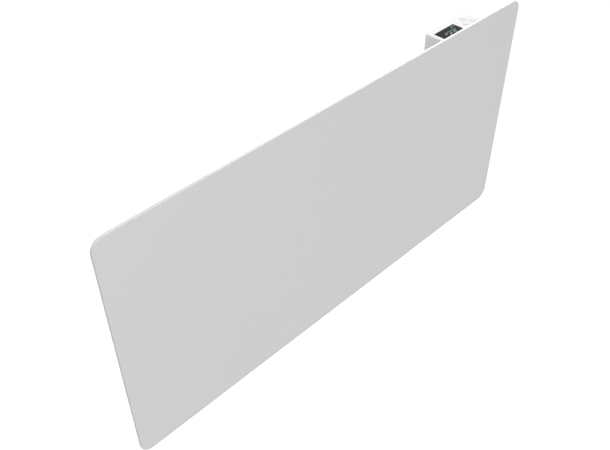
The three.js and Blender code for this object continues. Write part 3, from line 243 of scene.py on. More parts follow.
# Wall bracket
BRACKET_SHEET = 1.5 * MM
BRACKET_BEND = 2 * MM
LEG_OUTER_X = 187 * MM
LEG_WIDTH = 34 * MM
LEG_LIP = 10 * MM
LEG_LIP_END = 6 * MM
FLANGE_FRONT_Y = -35.7 * MM
FLANGE_SHOULDER = 12 * MM
FLANGE_HEEL = 4 * MM
FLANGE_WINDOW_BOTTOMS = [z * MM for z in (-96, -24)]
FLANGE_WINDOW_HEIGHT = 60 * MM
FLANGE_WINDOW_FRONT_Y = -26 * MM
FLANGE_WINDOW_REAR_Y = -12 * MM
FLANGE_WINDOW_CORNER = 5 * MM
CROSS_HALF_HEIGHT = 38 * MM
CROSS_LIP = 9 * MM
CROSS_HOLES = [x * MM for x in (-112, -62, 62, 112)]
CROSS_HOLE_RADIUS = 15 * MM
KEYHOLE_ROWS = [z * MM for z in (52, -112)]
KEYHOLE_HEAD = 5 * MM
KEYHOLE_SLOT = 2.6 * MM
KEYHOLE_RISE = 8.8 * MM

# Hook at the foot of a leg: an arm out of the flange, and a tongue that stands up from it
HOOK_FRONT_Y = -47 * MM
HOOK_ARM_REAR_Y = -34 * MM
HOOK_TONGUE_REAR_Y = -43 * MM
HOOK_BOTTOM_Z = -128 * MM
HOOK_ARM_TOP_Z = -121 * MM
HOOK_TIP_Z = -107 * MM
HOOK_CORNER = 4 * MM
HOOK_TIP_RADIUS = 1.9 * MM

# Slot in the flange, in which the latch's pin slides
PIN_SLOT_Y = -20 * MM
PIN_SLOT_WIDTH = 4.3 * MM
PIN_SLOT_BOTTOM_Z = 57.3 * MM
PIN_SLOT_TOP_Z = 70.7 * MM

# Studio
FLOOR_Z = -1.5
FLOOR_SIZE = 14
FLOOR_GREY = (0.55, 0.55, 0.55, 1.0)
FLOOR_GLOW = 0.72
ROOM_LIGHT = 0.48
WHITE = (1.0, 1.0, 1.0, 1.0)

# Lamps, which all face the origin: place, side length and power
LAMPS = {
    "overhead": ((0.1, 0.2, 1.8), 1.2, 4.5),
    "rear_right": ((2.0, 1.35, 1.25), 1.9, 31),
    "front_left": ((-0.85, -2.2, 1.1), 1.2, 22.3),
    "rear_left": ((-1.7, 0.45, 0.7), 0.9, 6.5),
}


# Camera

def make_camera():
    data = bpy.data.cameras.new("camera")
    data.sensor_width = SENSOR_WIDTH
    data.lens = FOCAL_PIXELS / PICTURE_WIDTH * SENSOR_WIDTH
    data.clip_start = 0.01
    data.clip_end = 50.0
    camera = bpy.data.objects.new("camera", data)
    bpy.context.scene.collection.objects.link(camera)
    turn = Matrix.Rotation(-CAMERA_YAW, 4, "Z")
    tip = Matrix.Rotation(math.pi / 2 - CAMERA_PITCH, 4, "X")
    roll = Matrix.Rotation(CAMERA_ROLL, 4, "Z")
    camera.matrix_world = Matrix.Translation(CAMERA_PLACE) @ turn @ tip @ roll
    bpy.context.scene.camera = camera


# Modelling by hand

def clear_selection():
    if bpy.context.object and bpy.context.object.mode != "OBJECT":
        bpy.ops.object.mode_set(mode="OBJECT")
    bpy.ops.object.select_all(action="DESELECT")


def pick(piece):
    clear_selection()
    piece.select_set(True)
    bpy.context.view_layer.objects.active = piece


def settle(piece):
    """Puts the piece's place, turn and scale into its mesh."""
    pick(piece)
    bpy.ops.object.transform_apply(location=True, rotation=True, scale=True)
    return piece


def block(low, high):
    low = Vector(low)
    high = Vector(high)
    clear_selection()
    bpy.ops.mesh.primitive_cube_add(size=1, location=(low + high) / 2, scale=high - low)
    return settle(bpy.context.object)


def rounded_block(low, high, axis, corner, segments=8):
    """A block whose four edges along one axis are rounded."""
    return round_edges(block(low, high), along(axis), corner, segments)


def slot_block(low, high, axis):
    """The block that a long hole with round ends leaves, through the piece along one axis."""
    across = [high[other] - low[other] for other in (X, Y, Z) if other != axis]
    return rounded_block(low, high, axis, ROUND_END * min(across))


def stand(piece, foot, direction):
    """Puts a piece that was drawn upright at the origin on its foot, facing along the direction."""
    piece.location = Vector(foot)
    piece.rotation_euler = Vector(direction).to_track_quat("Z", "Y").to_euler()
    return settle(piece)


def turned(profile, sides=48):
    """A round piece, drawn out ring by ring from its profile of radius and height.

    Its ends are flat, or, where the profile ends where it began, it closes round its bore.
    """
    hollow = profile[0] == profile[-1]
    clear_selection()
    radius, height = profile[0]
    bpy.ops.mesh.primitive_circle_add(
        vertices=sides, radius=radius, fill_type="NOTHING" if hollow else "NGON", location=(0, 0, height)
    )
    piece = settle(bpy.context.object)
    bpy.ops.object.mode_set(mode="EDIT")
    bpy.ops.mesh.select_all(action="SELECT")
    for next_radius, next_height in profile[1:]:
        if hollow:
            bpy.ops.mesh.extrude_edges_move()
        else:
            bpy.ops.mesh.extrude_region_move()
        bpy.ops.transform.translate(value=(0, 0, next_height - height))
        growth = next_radius / radius
        bpy.ops.transform.resize(value=(growth, growth, 1), center_override=(0, 0, next_height))
        radius, height = next_radius, next_height
    bpy.ops.mesh.select_all(action="SELECT")
    bpy.ops.mesh.remove_doubles(threshold=CLOSE)
    bpy.ops.mesh.normals_make_consistent(inside=False)
    bpy.ops.object.mode_set(mode="OBJECT")
    return piece


def round_bar(radius, start, end, sides=48):
    """A round bar from one point to another."""
    start = Vector(start)
    end = Vector(end)
    length = (end - start).length
    turn = (end - start).to_track_quat("Z", "Y").to_euler()
    clear_selection()
    bpy.ops.mesh.primitive_cylinder_add(
        vertices=sides, radius=radius, depth=length, location=(start + end) / 2, rotation=turn
    )
    return settle(bpy.context.object)


def select_edges(piece, wanted):
    """Leaves the piece in edit mode with the edges selected for which wanted(start, end) holds."""
    pick(piece)
    bpy.ops.object.mode_set(mode="EDIT")
    bpy.ops.mesh.select_mode(type="EDGE")
    bpy.ops.mesh.select_all(action="DESELECT")
    shape = bmesh.from_edit_mesh(piece.data)
    for edge in shape.edges:
        start, end = (corner.co for corner in edge.verts)
        edge.select_set(bool(wanted(start, end)))
    bmesh.update_edit_mesh(piece.data)


def select_faces(piece, wanted):
    """Leaves the piece in edit mode with the faces selected for which wanted(centre, normal) holds."""
    pick(piece)
    bpy.ops.object.mode_set(mode="EDIT")
    bpy.ops.mesh.select_mode(type="FACE")
    bpy.ops.mesh.select_all(action="DESELECT")
    shape = bmesh.from_edit_mesh(piece.data)
    for face in shape.faces:
        face.select_set(bool(wanted(face.calc_center_median(), face.normal)))
    bmesh.update_edit_mesh(piece.data)


def round_edges(piece, wanted, radius, segments):
    select_edges(piece, wanted)
    bpy.ops.mesh.bevel(offset=radius, segments=segments, profile=0.5, affect="EDGES")
    bpy.ops.object.mode_set(mode="OBJECT")
    return piece


def along(axis):
    """Tells whether an edge runs along the axis."""
    def runs(start, end):
        step = end - start
        return abs(step[axis]) > 0.999 * step.length
    return runs


def at_level(axis, level):
    """Tells whether an edge lies in the plane where the axis has this value."""
    def lies(start, end):
        return abs(start[axis] - level) < CLOSE and abs(end[axis] - level) < CLOSE
    return lies


def all_of(*tests):
    """Tells whether an edge passes every test."""
    def passes(start, end):
        return all(test(start, end) for test in tests)
    return passes


def apply_modifier(piece, kind, **settings):
    pick(piece)
    modifier = piece.modifiers.new(kind.lower(), kind)
    for setting, value in settings.items():
        setattr(modifier, setting, value)
    bpy.ops.object.modifier_apply(modifier=modifier.name)
    return piece


def join(pieces):
    clear_selection()
    for piece in pieces:
        piece.select_set(True)
    bpy.context.view_layer.objects.active = pieces[0]
    if len(pieces) > 1:
        bpy.ops.object.join()
    return pieces[0]


def combine(piece, others, operation):
    other = join(list(others))
    apply_modifier(piece, "BOOLEAN", operation=operation, solver="EXACT", object=other, use_self=True)
    bpy.data.objects.remove(other)
    return piece


def cut(piece, *cutters):
    return combine(piece, cutters, "DIFFERENCE")


def weld(piece, *others):
    for other in others:
        combine(piece, [other], "UNION")
    return piece


def open_side(piece, axis, level):
    """Takes away the flat face at this level of the axis."""
    def lies(centre, normal):
        return abs(normal[axis]) > 0.9 and abs(centre[axis] - level) < CLOSE

    select_faces(piece, lies)
    bpy.ops.mesh.delete(type="FACE")
    bpy.ops.object.mode_set(mode="OBJECT")
    return piece


def thicken_inwards(piece, wall):
    return apply_modifier(piece, "SOLIDIFY", thickness=wall, offset=-1.0, use_even_offset=True)


def soften(piece, width, angle=35):
    """Breaks the edges that are sharper than the angle."""
    return apply_modifier(
        piece, "BEVEL", width=width, segments=2, limit_method="ANGLE", angle_limit=math.radians(angle)
    )


def smooth(piece, angle=40):
    pick(piece)
    bpy.ops.object.shade_smooth_by_angle(angle=math.radians(angle))
    apply_modifier(piece, "WEIGHTED_NORMAL", keep_sharp=True, weight=90)
    return piece


def dress(piece, name, body, finish, stands_for=()):
    """Gives a finished piece its name, its finish and the body that it rides on."""
    piece.name = name
    piece.data.name = name
    piece.data.materials.clear()
    piece.data.materials.append(finish)
    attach(piece, body)
    if stands_for:
        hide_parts(*stands_for)


BODY_OF = {
    node: body
    for body, nodes in frame["record"]["behaviour"]["bodies"].items()
    for node in nodes
}
SLOT_OF = {subpart["node"]: subpart["material_slot"] for subpart in frame["record"]["subparts"]}


def finish_for(piece, name, node):
    """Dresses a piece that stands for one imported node, in that node's own body, slot and finish."""
    slot = SLOT_OF[node]
    dress(piece, name, BODY_OF[node], FINISHES[slot], [node])


def foot_of(node):
    """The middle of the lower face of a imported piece's box."""
    low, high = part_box(node)
    foot = (low + high) / 2
    foot.z = low.z
    return foot


def node_copy(node):
    """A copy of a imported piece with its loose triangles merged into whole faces."""
    clear_selection()
    source = frame["nodes"][node]
    piece = source.copy()
    piece.data = source.data.copy()
    for key in list(piece.keys()):
        del piece[key]
    piece.parent = None
    piece.matrix_world = Matrix.Identity(4)
    bpy.context.scene.collection.objects.link(piece)
    pick(piece)
    bpy.ops.object.mode_set(mode="EDIT")
    bpy.ops.mesh.select_all(action="SELECT")
    bpy.ops.mesh.remove_doubles(threshold=CLOSE)
    bpy.ops.mesh.dissolve_limited(angle_limit=math.radians(1))
    bpy.ops.object.mode_set(mode="OBJECT")
    return piece


# Finishes

class Finish:
    """A shader and its nodes, which read the place on the piece itself."""

    def __init__(self, name, roughness, metallic=0.0):
        self.material = bpy.data.materials.new(name)
        self.material.use_nodes = True
        self.nodes = self.material.node_tree.nodes
        self.links = self.material.node_tree.links
        self.shader = self.nodes["Principled BSDF"]
        self.shader.inputs["Roughness"].default_value = roughness
        self.shader.inputs["Metallic"].default_value = metallic
        self.shader.inputs["IOR"].default_value = 1.5
        place = self.nodes.new("ShaderNodeTexCoord")
        self.place = place.outputs["Object"]

    def stretched(self, scale):
        mapping = self.nodes.new("ShaderNodeMapping")
        mapping.inputs["Scale"].default_value = scale
        self.links.new(self.place, mapping.inputs["Vector"])
        return mapping.outputs["Vector"]

    def noise(self, scale, detail=3.0, stretch=None):
        texture = self.nodes.new("ShaderNodeTexNoise")
        texture.inputs["Scale"].default_value = scale
        texture.inputs["Detail"].default_value = detail
        self.links.new(self.stretched(stretch) if stretch else self.place, texture.inputs["Vector"])
        return texture.outputs["Fac"]

    def cells(self, scale):
        texture = self.nodes.new("ShaderNodeTexVoronoi")
        texture.inputs["Scale"].default_value = scale
        self.links.new(self.place, texture.inputs["Vector"])
        apart = self.nodes.new("ShaderNodeSeparateColor")
        self.links.new(texture.outputs["Color"], apart.inputs["Color"])
        return apart.outputs["Red"]

    def reckon(self, operation, *values):
        """A math node on sockets and plain numbers."""
        node = self.nodes.new("ShaderNodeMath")
        node.operation = operation
        for socket, value in zip(node.inputs, values):
            if isinstance(value, bpy.types.NodeSocket):
                self.links.new(value, socket)
            else:
                socket.default_value = value
        return node.outputs["Value"]

    def coordinates(self):
        apart = self.nodes.new("ShaderNodeSeparateXYZ")
        self.links.new(self.place, apart.inputs["Vector"])
        return apart.outputs

    def ramp(self, value, start, end, low=0.0, high=1.0):
        """Maps the span from start to end to the span from low to high."""
        span = self.nodes.new("ShaderNodeMapRange")
        span.inputs["From Min"].default_value = start
        span.inputs["From Max"].default_value = end
        span.inputs["To Min"].default_value = low
        span.inputs["To Max"].default_value = high
        self.links.new(value, span.inputs["Value"])
        return span.outputs["Result"]

    def spread(self, value, low, high):
        """Maps the middle of a pattern, where nearly all of it lies, to the span from low to high."""
        return self.ramp(value, 0.3, 0.7, low, high)

    def blend(self, factor, first, second):
        mix = self.nodes.new("ShaderNodeMix")
        mix.data_type = "RGBA"
        self.links.new(factor, mix.inputs["Factor"])
        for socket, value in ((mix.inputs["A"], first), (mix.inputs["B"], second)):
            if isinstance(value, bpy.types.NodeSocket):
                self.links.new(value, socket)
            else:
                socket.default_value = (*value, 1.0)
        return mix.outputs["Result"]

    def mixed(self, factor, first, second):
        """A number that goes from first, a pattern, to second, a plain value, as the factor rises."""
        mix = self.nodes.new("ShaderNodeMix")
        self.links.new(factor, mix.inputs["Factor"])
        self.links.new(first, mix.inputs["A"])
        mix.inputs["B"].default_value = second
        return mix.outputs["Result"]

    def colour(self, value):
        self.links.new(value, self.shader.inputs["Base Color"])

    def roughness(self, value):
        self.links.new(value, self.shader.inputs["Roughness"])

    def relief(self, value, depth):
        bump = self.nodes.new("ShaderNodeBump")
        bump.inputs["Distance"].default_value = depth
        self.links.new(value, bump.inputs["Height"])
        self.links.new(bump.outputs["Normal"], self.shader.inputs["Normal"])


def shade(colour, factor):
    return tuple(channel * factor for channel in colour)


def mottled(name, colour, roughness, variation, mottle, grain, depth, metallic=0.0):
    """A finish whose colour varies in a slow mottle, under a fine grain of some depth.

    Mottle and grain are the scales of their patterns, so a higher one is finer.
    """
    finish = Finish(name, roughness, metallic)
    slow = finish.spread(finish.noise(mottle), 0.0, 1.0)
    finish.colour(finish.blend(slow, shade(colour, 1 - variation), shade(colour, 1 + variation)))
    patches = finish.noise(mottle * 2.3, 4.0)
    finish.roughness(finish.spread(patches, roughness * 0.9, roughness * 1.1))
    finish.relief(finish.noise(grain, 2.0), depth)
    return finish


def short_rims(finish):
    """1 on the rims at the glass's two ends, and 0 on its faces and its long rims: the mask of their matt
    ground and of the painted shade on them.
    """
    low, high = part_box("glass_panel")
    place = finish.coordinates()
    middle = (low.y + high.y) / 2
    rim = finish.reckon("COMPARE", place["Y"], middle, high.y - middle - RIM_INSET)
    outwards = finish.reckon("ABSOLUTE", place["X"])
    end = finish.ramp(outwards, high.x - GLASS_CORNER, high.x - RIM_INSET)
    return finish.reckon("MULTIPLY", rim, end)


def enamelled_glass():
    """White enamel behind toughened glass, with its faint roller wave, its matt ground ends and painted
    shade that darkens the colour of those ends.
    """
    finish = Finish("enamelled_glass", 0.16)
    colour = (0.79, 0.79, 0.79)
    ends = short_rims(finish)
    cloud = finish.spread(finish.noise(5.0, 2.0), 0.0, 1.0)
    face = finish.blend(cloud, shade(colour, 0.995), shade(colour, 1.005))
    # Painted shade: the two end rims get 0.8 of the face's colour, for the shade that falls on the
    # glass's sides.
    finish.colour(finish.blend(ends, face, shade(colour, 0.8)))
    polish = finish.spread(finish.noise(40.0, 3.0), 0.14, 0.18)
    finish.roughness(finish.mixed(ends, polish, 0.5))
    finish.relief(finish.noise(7.0, 0.0, stretch=(1.0, 1.0, 2.2)), 0.02 * MM)
    return finish.material


def powder_coat():
    return mottled(
        "powder_coat", (0.74, 0.74, 0.735),
        roughness=0.46, variation=0.012, mottle=30.0, grain=1500.0, depth=0.02 * MM,
    ).material


def satin_moulding():
    return mottled(
        "satin_moulding", (0.81, 0.81, 0.805),
        roughness=0.42, variation=0.008, mottle=60.0, grain=2600.0, depth=0.008 * MM,
    ).material


def smoked_lens():
    finish = mottled(
        "smoked_lens", (0.007, 0.0085, 0.0085),
        roughness=0.1, variation=0.15, mottle=90.0, grain=300.0, depth=0.001 * MM,
    )
    finish.shader.inputs["Specular IOR Level"].default_value = 0.02
    return finish.material


def grey_nylon():
    return mottled(
        "grey_nylon", (0.33, 0.34, 0.35),
        roughness=0.5, variation=0.05, mottle=150.0, grain=2200.0, depth=0.01 * MM,
    ).material


def dark_moulding():
    return mottled(
        "dark_moulding", (0.026, 0.027, 0.029),
        roughness=0.42, variation=0.12, mottle=150.0, grain=2400.0, depth=0.01 * MM,
    ).material


def grey_silicone():
    return mottled(
        "grey_silicone", (0.28, 0.29, 0.30),
        roughness=0.7, variation=0.06, mottle=90.0, grain=700.0, depth=0.03 * MM,
    ).material


def steatite():
    return mottled(
        "steatite", (0.76, 0.72, 0.63),
        roughness=0.72, variation=0.06, mottle=220.0, grain=1800.0, depth=0.02 * MM,
    ).material


def capacitor_sleeve():
    return mottled(
        "capacitor_sleeve", (0.02, 0.02, 0.022),
        roughness=0.55, variation=0.2, mottle=200.0, grain=900.0, depth=0.01 * MM,
    ).material


def zinc_sheet():
    """Zinc plating: soft spangle with a rolled grain."""
    finish = Finish("zinc_sheet", 0.4, metallic=1.0)
    spangle = finish.cells(150.0)
    finish.colour(finish.blend(spangle, (0.55, 0.56, 0.58), (0.68, 0.69, 0.70)))
    finish.roughness(finish.spread(finish.noise(300.0, 4.0), 0.34, 0.48))
    finish.relief(finish.noise(600.0, 3.0, stretch=(1.0, 1.0, 0.15)), 0.01 * MM)
    return finish.material


def bright_screw():
    return mottled(
        "bright_screw", (0.55, 0.56, 0.58),
        roughness=0.3, variation=0.08, mottle=500.0, grain=2500.0, depth=0.006 * MM, metallic=1.0,
    ).material


def drawn_aluminium():
    """Extruded aluminium with its die lines along X."""
    finish = Finish("drawn_aluminium", 0.36, metallic=1.0)
    lines = finish.noise(700.0, 3.0, stretch=(0.01, 1.0, 1.0))
    finish.colour(finish.blend(lines, (0.66, 0.67, 0.68), (0.80, 0.81, 0.82)))
    finish.roughness(finish.spread(lines, 0.3, 0.44))
    finish.relief(lines, 0.01 * MM)
    return finish.material


def solder_mask():
    """Green board with paler copper runs under the mask."""
    finish = Finish("solder_mask", 0.35)
    runs = finish.spread(finish.noise(260.0, 0.0, stretch=(1.0, 1.0, 0.12)), -1.5, 2.5)
    finish.colour(finish.blend(runs, (0.012, 0.075, 0.03), (0.03, 0.16, 0.07)))
    finish.relief(runs, 0.02 * MM)
    return finish.material


def lead_insulation(name, colour):
    return mottled(
        name, colour, roughness=0.5, variation=0.1, mottle=180.0, grain=900.0, depth=0.01 * MM
    ).material


def earth_insulation():
    """Green insulation with yellow stripes."""
    finish = Finish("earth_insulation", 0.5)
    stripes = finish.spread(finish.noise(420.0, 0.0, stretch=(1.0, 1.0, 0.05)), -1.0, 2.0)
    finish.colour(finish.blend(stripes, (0.09, 0.30, 0.04), (0.62, 0.56, 0.04)))
    finish.relief(finish.noise(900.0), 0.01 * MM)
    return finish.material


def lit_segment(name, colour):
    """Pale teal light of the display, a little uneven over its length."""
    finish = Finish(name, 0.4)
    glow = finish.spread(finish.noise(240.0, 2.0), 0.0, 1.0)
    tone = finish.blend(glow, shade(colour, 0.86), shade(colour, 1.14))
    finish.colour(tone)
    finish.links.new(tone, finish.shader.inputs["Emission Color"])
    finish.shader.inputs["Emission Strength"].default_value = 0.3
    return finish.material


def printed_grey():
    return mottled(
        "printed_grey", (0.64, 0.645, 0.65),
        roughness=0.5, variation=0.05, mottle=400.0, grain=2000.0, depth=0.004 * MM,
    ).material


FINISHES = {
    "white_glass": enamelled_glass(),
    "white_enamel": powder_coat(),
    "white_plastic": satin_moulding(),
    "black_gloss": smoked_lens(),
    "grey_plastic": grey_nylon(),
    "dark_plastic": dark_moulding(),
    "aluminium": drawn_aluminium(),
    "zinc_steel": zinc_sheet(),
    "screw_steel": bright_screw(),
    "ceramic": steatite(),
    "silicone": grey_silicone(),
    "black_rubber": capacitor_sleeve(),
    "circuit_board": solder_mask(),
    "brown_wire": lead_insulation("brown_insulation", (0.16, 0.06, 0.02)),
    "blue_wire": lead_insulation("blue_insulation", (0.03, 0.11, 0.40)),
    "green_wire": earth_insulation(),
}
LIT = lit_segment("lit_segment", (0.15, 0.34, 0.33))
DIM = lit_segment("dim_segment", (0.15, 0.17, 0.17))
PRINT = printed_grey()


def dress_packed_pieces():
    """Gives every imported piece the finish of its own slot."""
    for subpart in frame["record"]["subparts"]:
        piece = frame["nodes"][subpart["node"]]
        piece.data.materials.clear()
        piece.data.materials.append(FINISHES[subpart["material_slot"]])


# Glass front

def make_glass():
    low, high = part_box("glass_panel")
    glass = rounded_block(low, high, Y, GLASS_CORNER, 16)

    def rim(start, end):
        return at_level(Y, low.y)(start, end) or at_level(Y, high.y)(start, end)

    round_edges(glass, rim, GLASS_ARRIS, 3)
    smooth(glass)
    finish_for(glass, "glass_front", "glass_panel")


# Control unit

def make_cap():
    low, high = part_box("control_cap")
    cap = rounded_block(low, high, Z, CAP_CORNER)
    round_edges(cap, at_level(Z, high.z), CAP_EDGE, 4)
    wall = Vector((CAP_WALL, CAP_WALL, CAP_WALL))
    depth = Vector((0, 0, 2 * CAP_WALL))
    cut(cap, rounded_block(low + wall - depth, high - wall, Z, CAP_INNER_CORNER, 4))
    lens_low, lens_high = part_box("display_window")
    gap = Vector((LENS_FIT + LENS_GAP, LENS_FIT + LENS_GAP, LENS_GAP))
    ledge = Vector((LENS_LEDGE, LENS_LEDGE, 0))
    cut(cap, rounded_block(lens_low - gap, lens_high + gap + depth, Z, LENS_CORNER))
    cut(cap, rounded_block(lens_low + ledge - depth, lens_high - ledge, Z, LENS_CORNER))
    bores = []
    for key in KEY_STROKES:
        foot = foot_of(key)
        start = (foot.x, foot.y, high.z - KEY_BORE_DEPTH)
        bores.append(round_bar(KEY_RADIUS + KEY_GAP, start, (foot.x, foot.y, high.z + CUTTER_REACH)))
    cut(cap, *bores)
    frame_low, frame_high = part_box("switch_frame")
    inset = Vector((0, SWITCH_HOLE_INSET, SWITCH_HOLE_INSET))
    reach = Vector((2 * CAP_WALL, 0, 0))
    frame_low.x = high.x
    frame_high.x = high.x
    cut(cap, block(frame_low + inset - reach, frame_high - inset + reach))
    soften(cap, EDGE_BREAK, 50)
    smooth(cap)
    finish_for(cap, "cap_moulding", "control_cap")


def make_lens():
    """The smoked lens, which also fills the clearance that its solid keeps to the cap."""
    low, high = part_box("display_window")
    fit = Vector((LENS_FIT, LENS_FIT, 0))
    lens = rounded_block(low - fit, high + fit, Z, LENS_CORNER)
    round_edges(lens, at_level(Z, high.z), LENS_EDGE, 3)
    smooth(lens)
    finish_for(lens, "display_lens", "display_window")


def flat_bar(start, end, width, z=0):
    """A flat bar between two points, its ends drawn in a little and its upright edges rounded."""
    start = Vector((*start, z))
    end = Vector((*end, z))
    length = (end - start).length - 0.2 * width
    turn = math.atan2(end.y - start.y, end.x - start.x)
    clear_selection()
    bpy.ops.mesh.primitive_cube_add(size=1, location=(start + end) / 2, rotation=(0, 0, turn))
    bar = bpy.context.object
    bar.scale = (length, width, MARK_HEIGHT)
    settle(bar)
    return round_edges(bar, along(Z), 0.3 * width, 2)


def flat_ring(centre, radius, width, z=0):
    """A flat ring, spun from a small upright oblong."""
    clear_selection()
    bpy.ops.mesh.primitive_plane_add(size=1, location=(centre[0] + radius, centre[1], z))
    ring = bpy.context.object
    ring.scale = (width, MARK_HEIGHT, 1.0)
    ring.rotation_euler = (math.pi / 2, 0, 0)
    settle(ring)
    bpy.ops.object.mode_set(mode="EDIT")
    bpy.ops.mesh.select_all(action="SELECT")
    bpy.ops.mesh.spin(steps=RING_SIDES, angle=math.tau, center=(*centre, z), axis=UP)
    bpy.ops.mesh.select_all(action="SELECT")
    bpy.ops.mesh.remove_doubles(threshold=CLOSE)
    bpy.ops.mesh.delete_loose()
    bpy.ops.mesh.select_all(action="SELECT")
    bpy.ops.mesh.normals_make_consistent(inside=False)
    bpy.ops.object.mode_set(mode="OBJECT")
    return ring


def key_button(height):
    """A round key: a stem, a collar that stays under the cap, a rounded rim and a shallow dish."""
    collar = height - KEY_COLLAR_DROP
    return turned([
        (KEY_STEM_RADIUS, 0),
        (KEY_STEM_RADIUS, collar - KEY_COLLAR_HEIGHT),
        (KEY_COLLAR_RADIUS, collar - KEY_COLLAR_HEIGHT),
        (KEY_COLLAR_RADIUS, collar),
        (KEY_RADIUS, collar),
        *((KEY_RADIUS - inwards, height - down) for inwards, down in KEY_RIM),
        (KEY_RADIUS / 2, height - KEY_DISH),
    ], 64)


def make_keys():
    """The keys, and the signs that are printed in their dishes."""
    for key, strokes in KEY_STROKES.items():
        low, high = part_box(key)
        foot = foot_of(key)
        button = stand(key_button(high.z - low.z), foot, UP)
        finish_for(smooth(button, 50), key + "_button", key)
        marks = [flat_bar(start, end, MARK_STROKE) for start, end in strokes]
        if key == "key_mode":
            marks.append(flat_ring((0, 0), KEY_RING_RADIUS, MARK_STROKE))
        sign = stand(join(marks), (foot.x, foot.y, high.z - KEY_DISH), UP)
        dress(sign, key + "_sign", BODY_OF[key], PRINT)


def make_switch_marks():
    """The I and O on the two ends of the rocker."""
    tilt = Matrix.Rotation(-ROCKER_TILT, 4, "Z")
    bar = flat_bar((-ROCKER_BAR_REACH, 0), (ROCKER_BAR_REACH, 0), MARK_STROKE)
    ring = flat_ring((0, 0), ROCKER_RING_RADIUS, MARK_STROKE)
    for name, mark, end in (("on", bar, 1), ("off", ring, -1)):
        place = ROCKER_PIVOT + tilt @ Vector((ROCKER_MARK_OUT, end * ROCKER_MARK_ALONG, 0))
        stand(mark, place, tilt @ Vector((1, end * ROCKER_FACE_SLOPE, 0)))
        dress(mark, f"rocker_{name}_sign", "rocker", FINISHES["white_plastic"])


# Display of seven-bar digits and plain signs. The bars join places in a digit that is
# one wide and one high, with its middle at 0.

SEGMENTS = {
    "top": ((-0.5, 0.5), (0.5, 0.5)),
    "middle": ((-0.5, 0.0), (0.5, 0.0)),
    "bottom": ((-0.5, -0.5), (0.5, -0.5)),
    "upper_left": ((-0.5, 0.0), (-0.5, 0.5)),
    "upper_right": ((0.5, 0.0), (0.5, 0.5)),
    "lower_left": ((-0.5, -0.5), (-0.5, 0.0)),
    "lower_right": ((0.5, -0.5), (0.5, 0.0)),
}
DIGITS = {
    "2": ("top", "upper_right", "middle", "lower_left", "bottom"),
    "3": ("top", "upper_right", "middle", "lower_right", "bottom"),
}


def digit_bars(digit, centre, z):
    bars = []
    for segment in DIGITS[digit]:
        start, end = (
            (centre.x + across * DIGIT_WIDTH, centre.y + up * DIGIT_HEIGHT)
            for across, up in SEGMENTS[segment]
        )
        bars.append(flat_bar(start, end, DIGIT_STROKE, z))
    return bars


def make_display():
    low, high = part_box("display_window")
    size = high - low
    z = high.z + MARK_HEIGHT / 4

    def on_lens(place):
        across, back = place
        return Vector((low.x + across * size.x, low.y + back * size.y))

    def light(name, marks, finish=LIT):
        dress(join(marks), name, "heater", finish)

    for name, (digit, place) in DIGIT_PLACES.items():
        light(name, digit_bars(digit, on_lens(place), z))
    light("degree_sign", [flat_ring(on_lens(DEGREE_PLACE), DEGREE_RADIUS, DEGREE_STROKE, z)])
    clock = on_lens(CLOCK_PLACE)
    light("clock_sign", [
        flat_ring(clock, CLOCK_RADIUS, CLOCK_STROKE, z),
        flat_bar(clock, clock + Vector((0, CLOCK_HAND)), CLOCK_HAND_STROKE, z),
    ])
    light("day_sign", [flat_ring(on_lens(SUN_PLACE), SUN_RADIUS, SUN_STROKE, z)])
    bars = []
    for step in range(LEVEL_BARS):
        foot = on_lens(LEVEL_PLACE) + Vector((step * LEVEL_PITCH, 0))
        top = foot + Vector((0, LEVEL_LOWEST + step * LEVEL_RISE))
        bars.append(flat_bar(foot, top, LEVEL_STROKE, z))
    light("level_sign", bars, DIM)


# Steel casing

def louvre_hood(inset, drop):
    """A pressed hood: a ball drawn out sideways, then cut flat below and behind."""
    clear_selection()
    bpy.ops.mesh.primitive_uv_sphere_add(
        segments=40, ring_count=20, radius=1, rotation=(0, math.pi / 2, 0)
    )
    hood = bpy.context.object
    hood.scale = (LOUVRE_HEIGHT - inset, LOUVRE_DEPTH - inset, LOUVRE_END - inset)
    settle(hood)
    for sign in (-1, 1):
        pick(hood)
        bpy.ops.object.mode_set(mode="EDIT")
        bpy.ops.mesh.select_mode(type="VERT")
        bpy.ops.mesh.select_all(action="DESELECT")
        shape = bmesh.from_edit_mesh(hood.data)
        for point in shape.verts:
            point.select_set(sign * point.co.x > CLOSE)
        shape.select_flush_mode()
        bmesh.update_edit_mesh(hood.data)
        bpy.ops.transform.translate(value=(sign * (LOUVRE_LENGTH / 2 - LOUVRE_END), 0, 0))
    for place, normal in (((0, 0, -drop), UP), ((0, -SHEET / 2 - inset, 0), (0, 1, 0))):
        bpy.ops.mesh.select_all(action="SELECT")
        bpy.ops.mesh.bisect(plane_co=place, plane_no=normal, use_fill=True, clear_inner=True)
    bpy.ops.object.mode_set(mode="OBJECT")
    return hood


def rows_of_hoods(inset, drop):
    hoods = []
    for x in LOUVRE_COLUMNS:
        for z in LOUVRE_ROWS:
            hood = louvre_hood(inset, drop)
            hood.location = (x, CASING_REAR_Y, z)
            hoods.append(settle(hood))
    return join(hoods)


def air_slots(count, z):
    half = Vector((AIR_SLOT_WIDTH / 2, AIR_SLOT_LENGTH / 2, 3 * SHEET))
    slots = []
    for place in range(count):
        centre = Vector((AIR_SLOT_FIRST_X + place * AIR_SLOT_PITCH, AIR_SLOT_Y, z))
        slots.append(slot_block(centre - half, centre + half, Z))
    return slots


def screw_holes(radius):
    """Bars that cut the screws' holes through the two ends of the casing or the plate."""
    bars = []
    for sign, z in SCREW_PLACES:
        inner = (sign * SCREW_HOLE_INNER_X, SCREW_Y, z)
        outer = (sign * SCREW_HOLE_OUTER_X, SCREW_Y, z)
        bars.append(round_bar(radius, inner, outer, 32))
    return bars


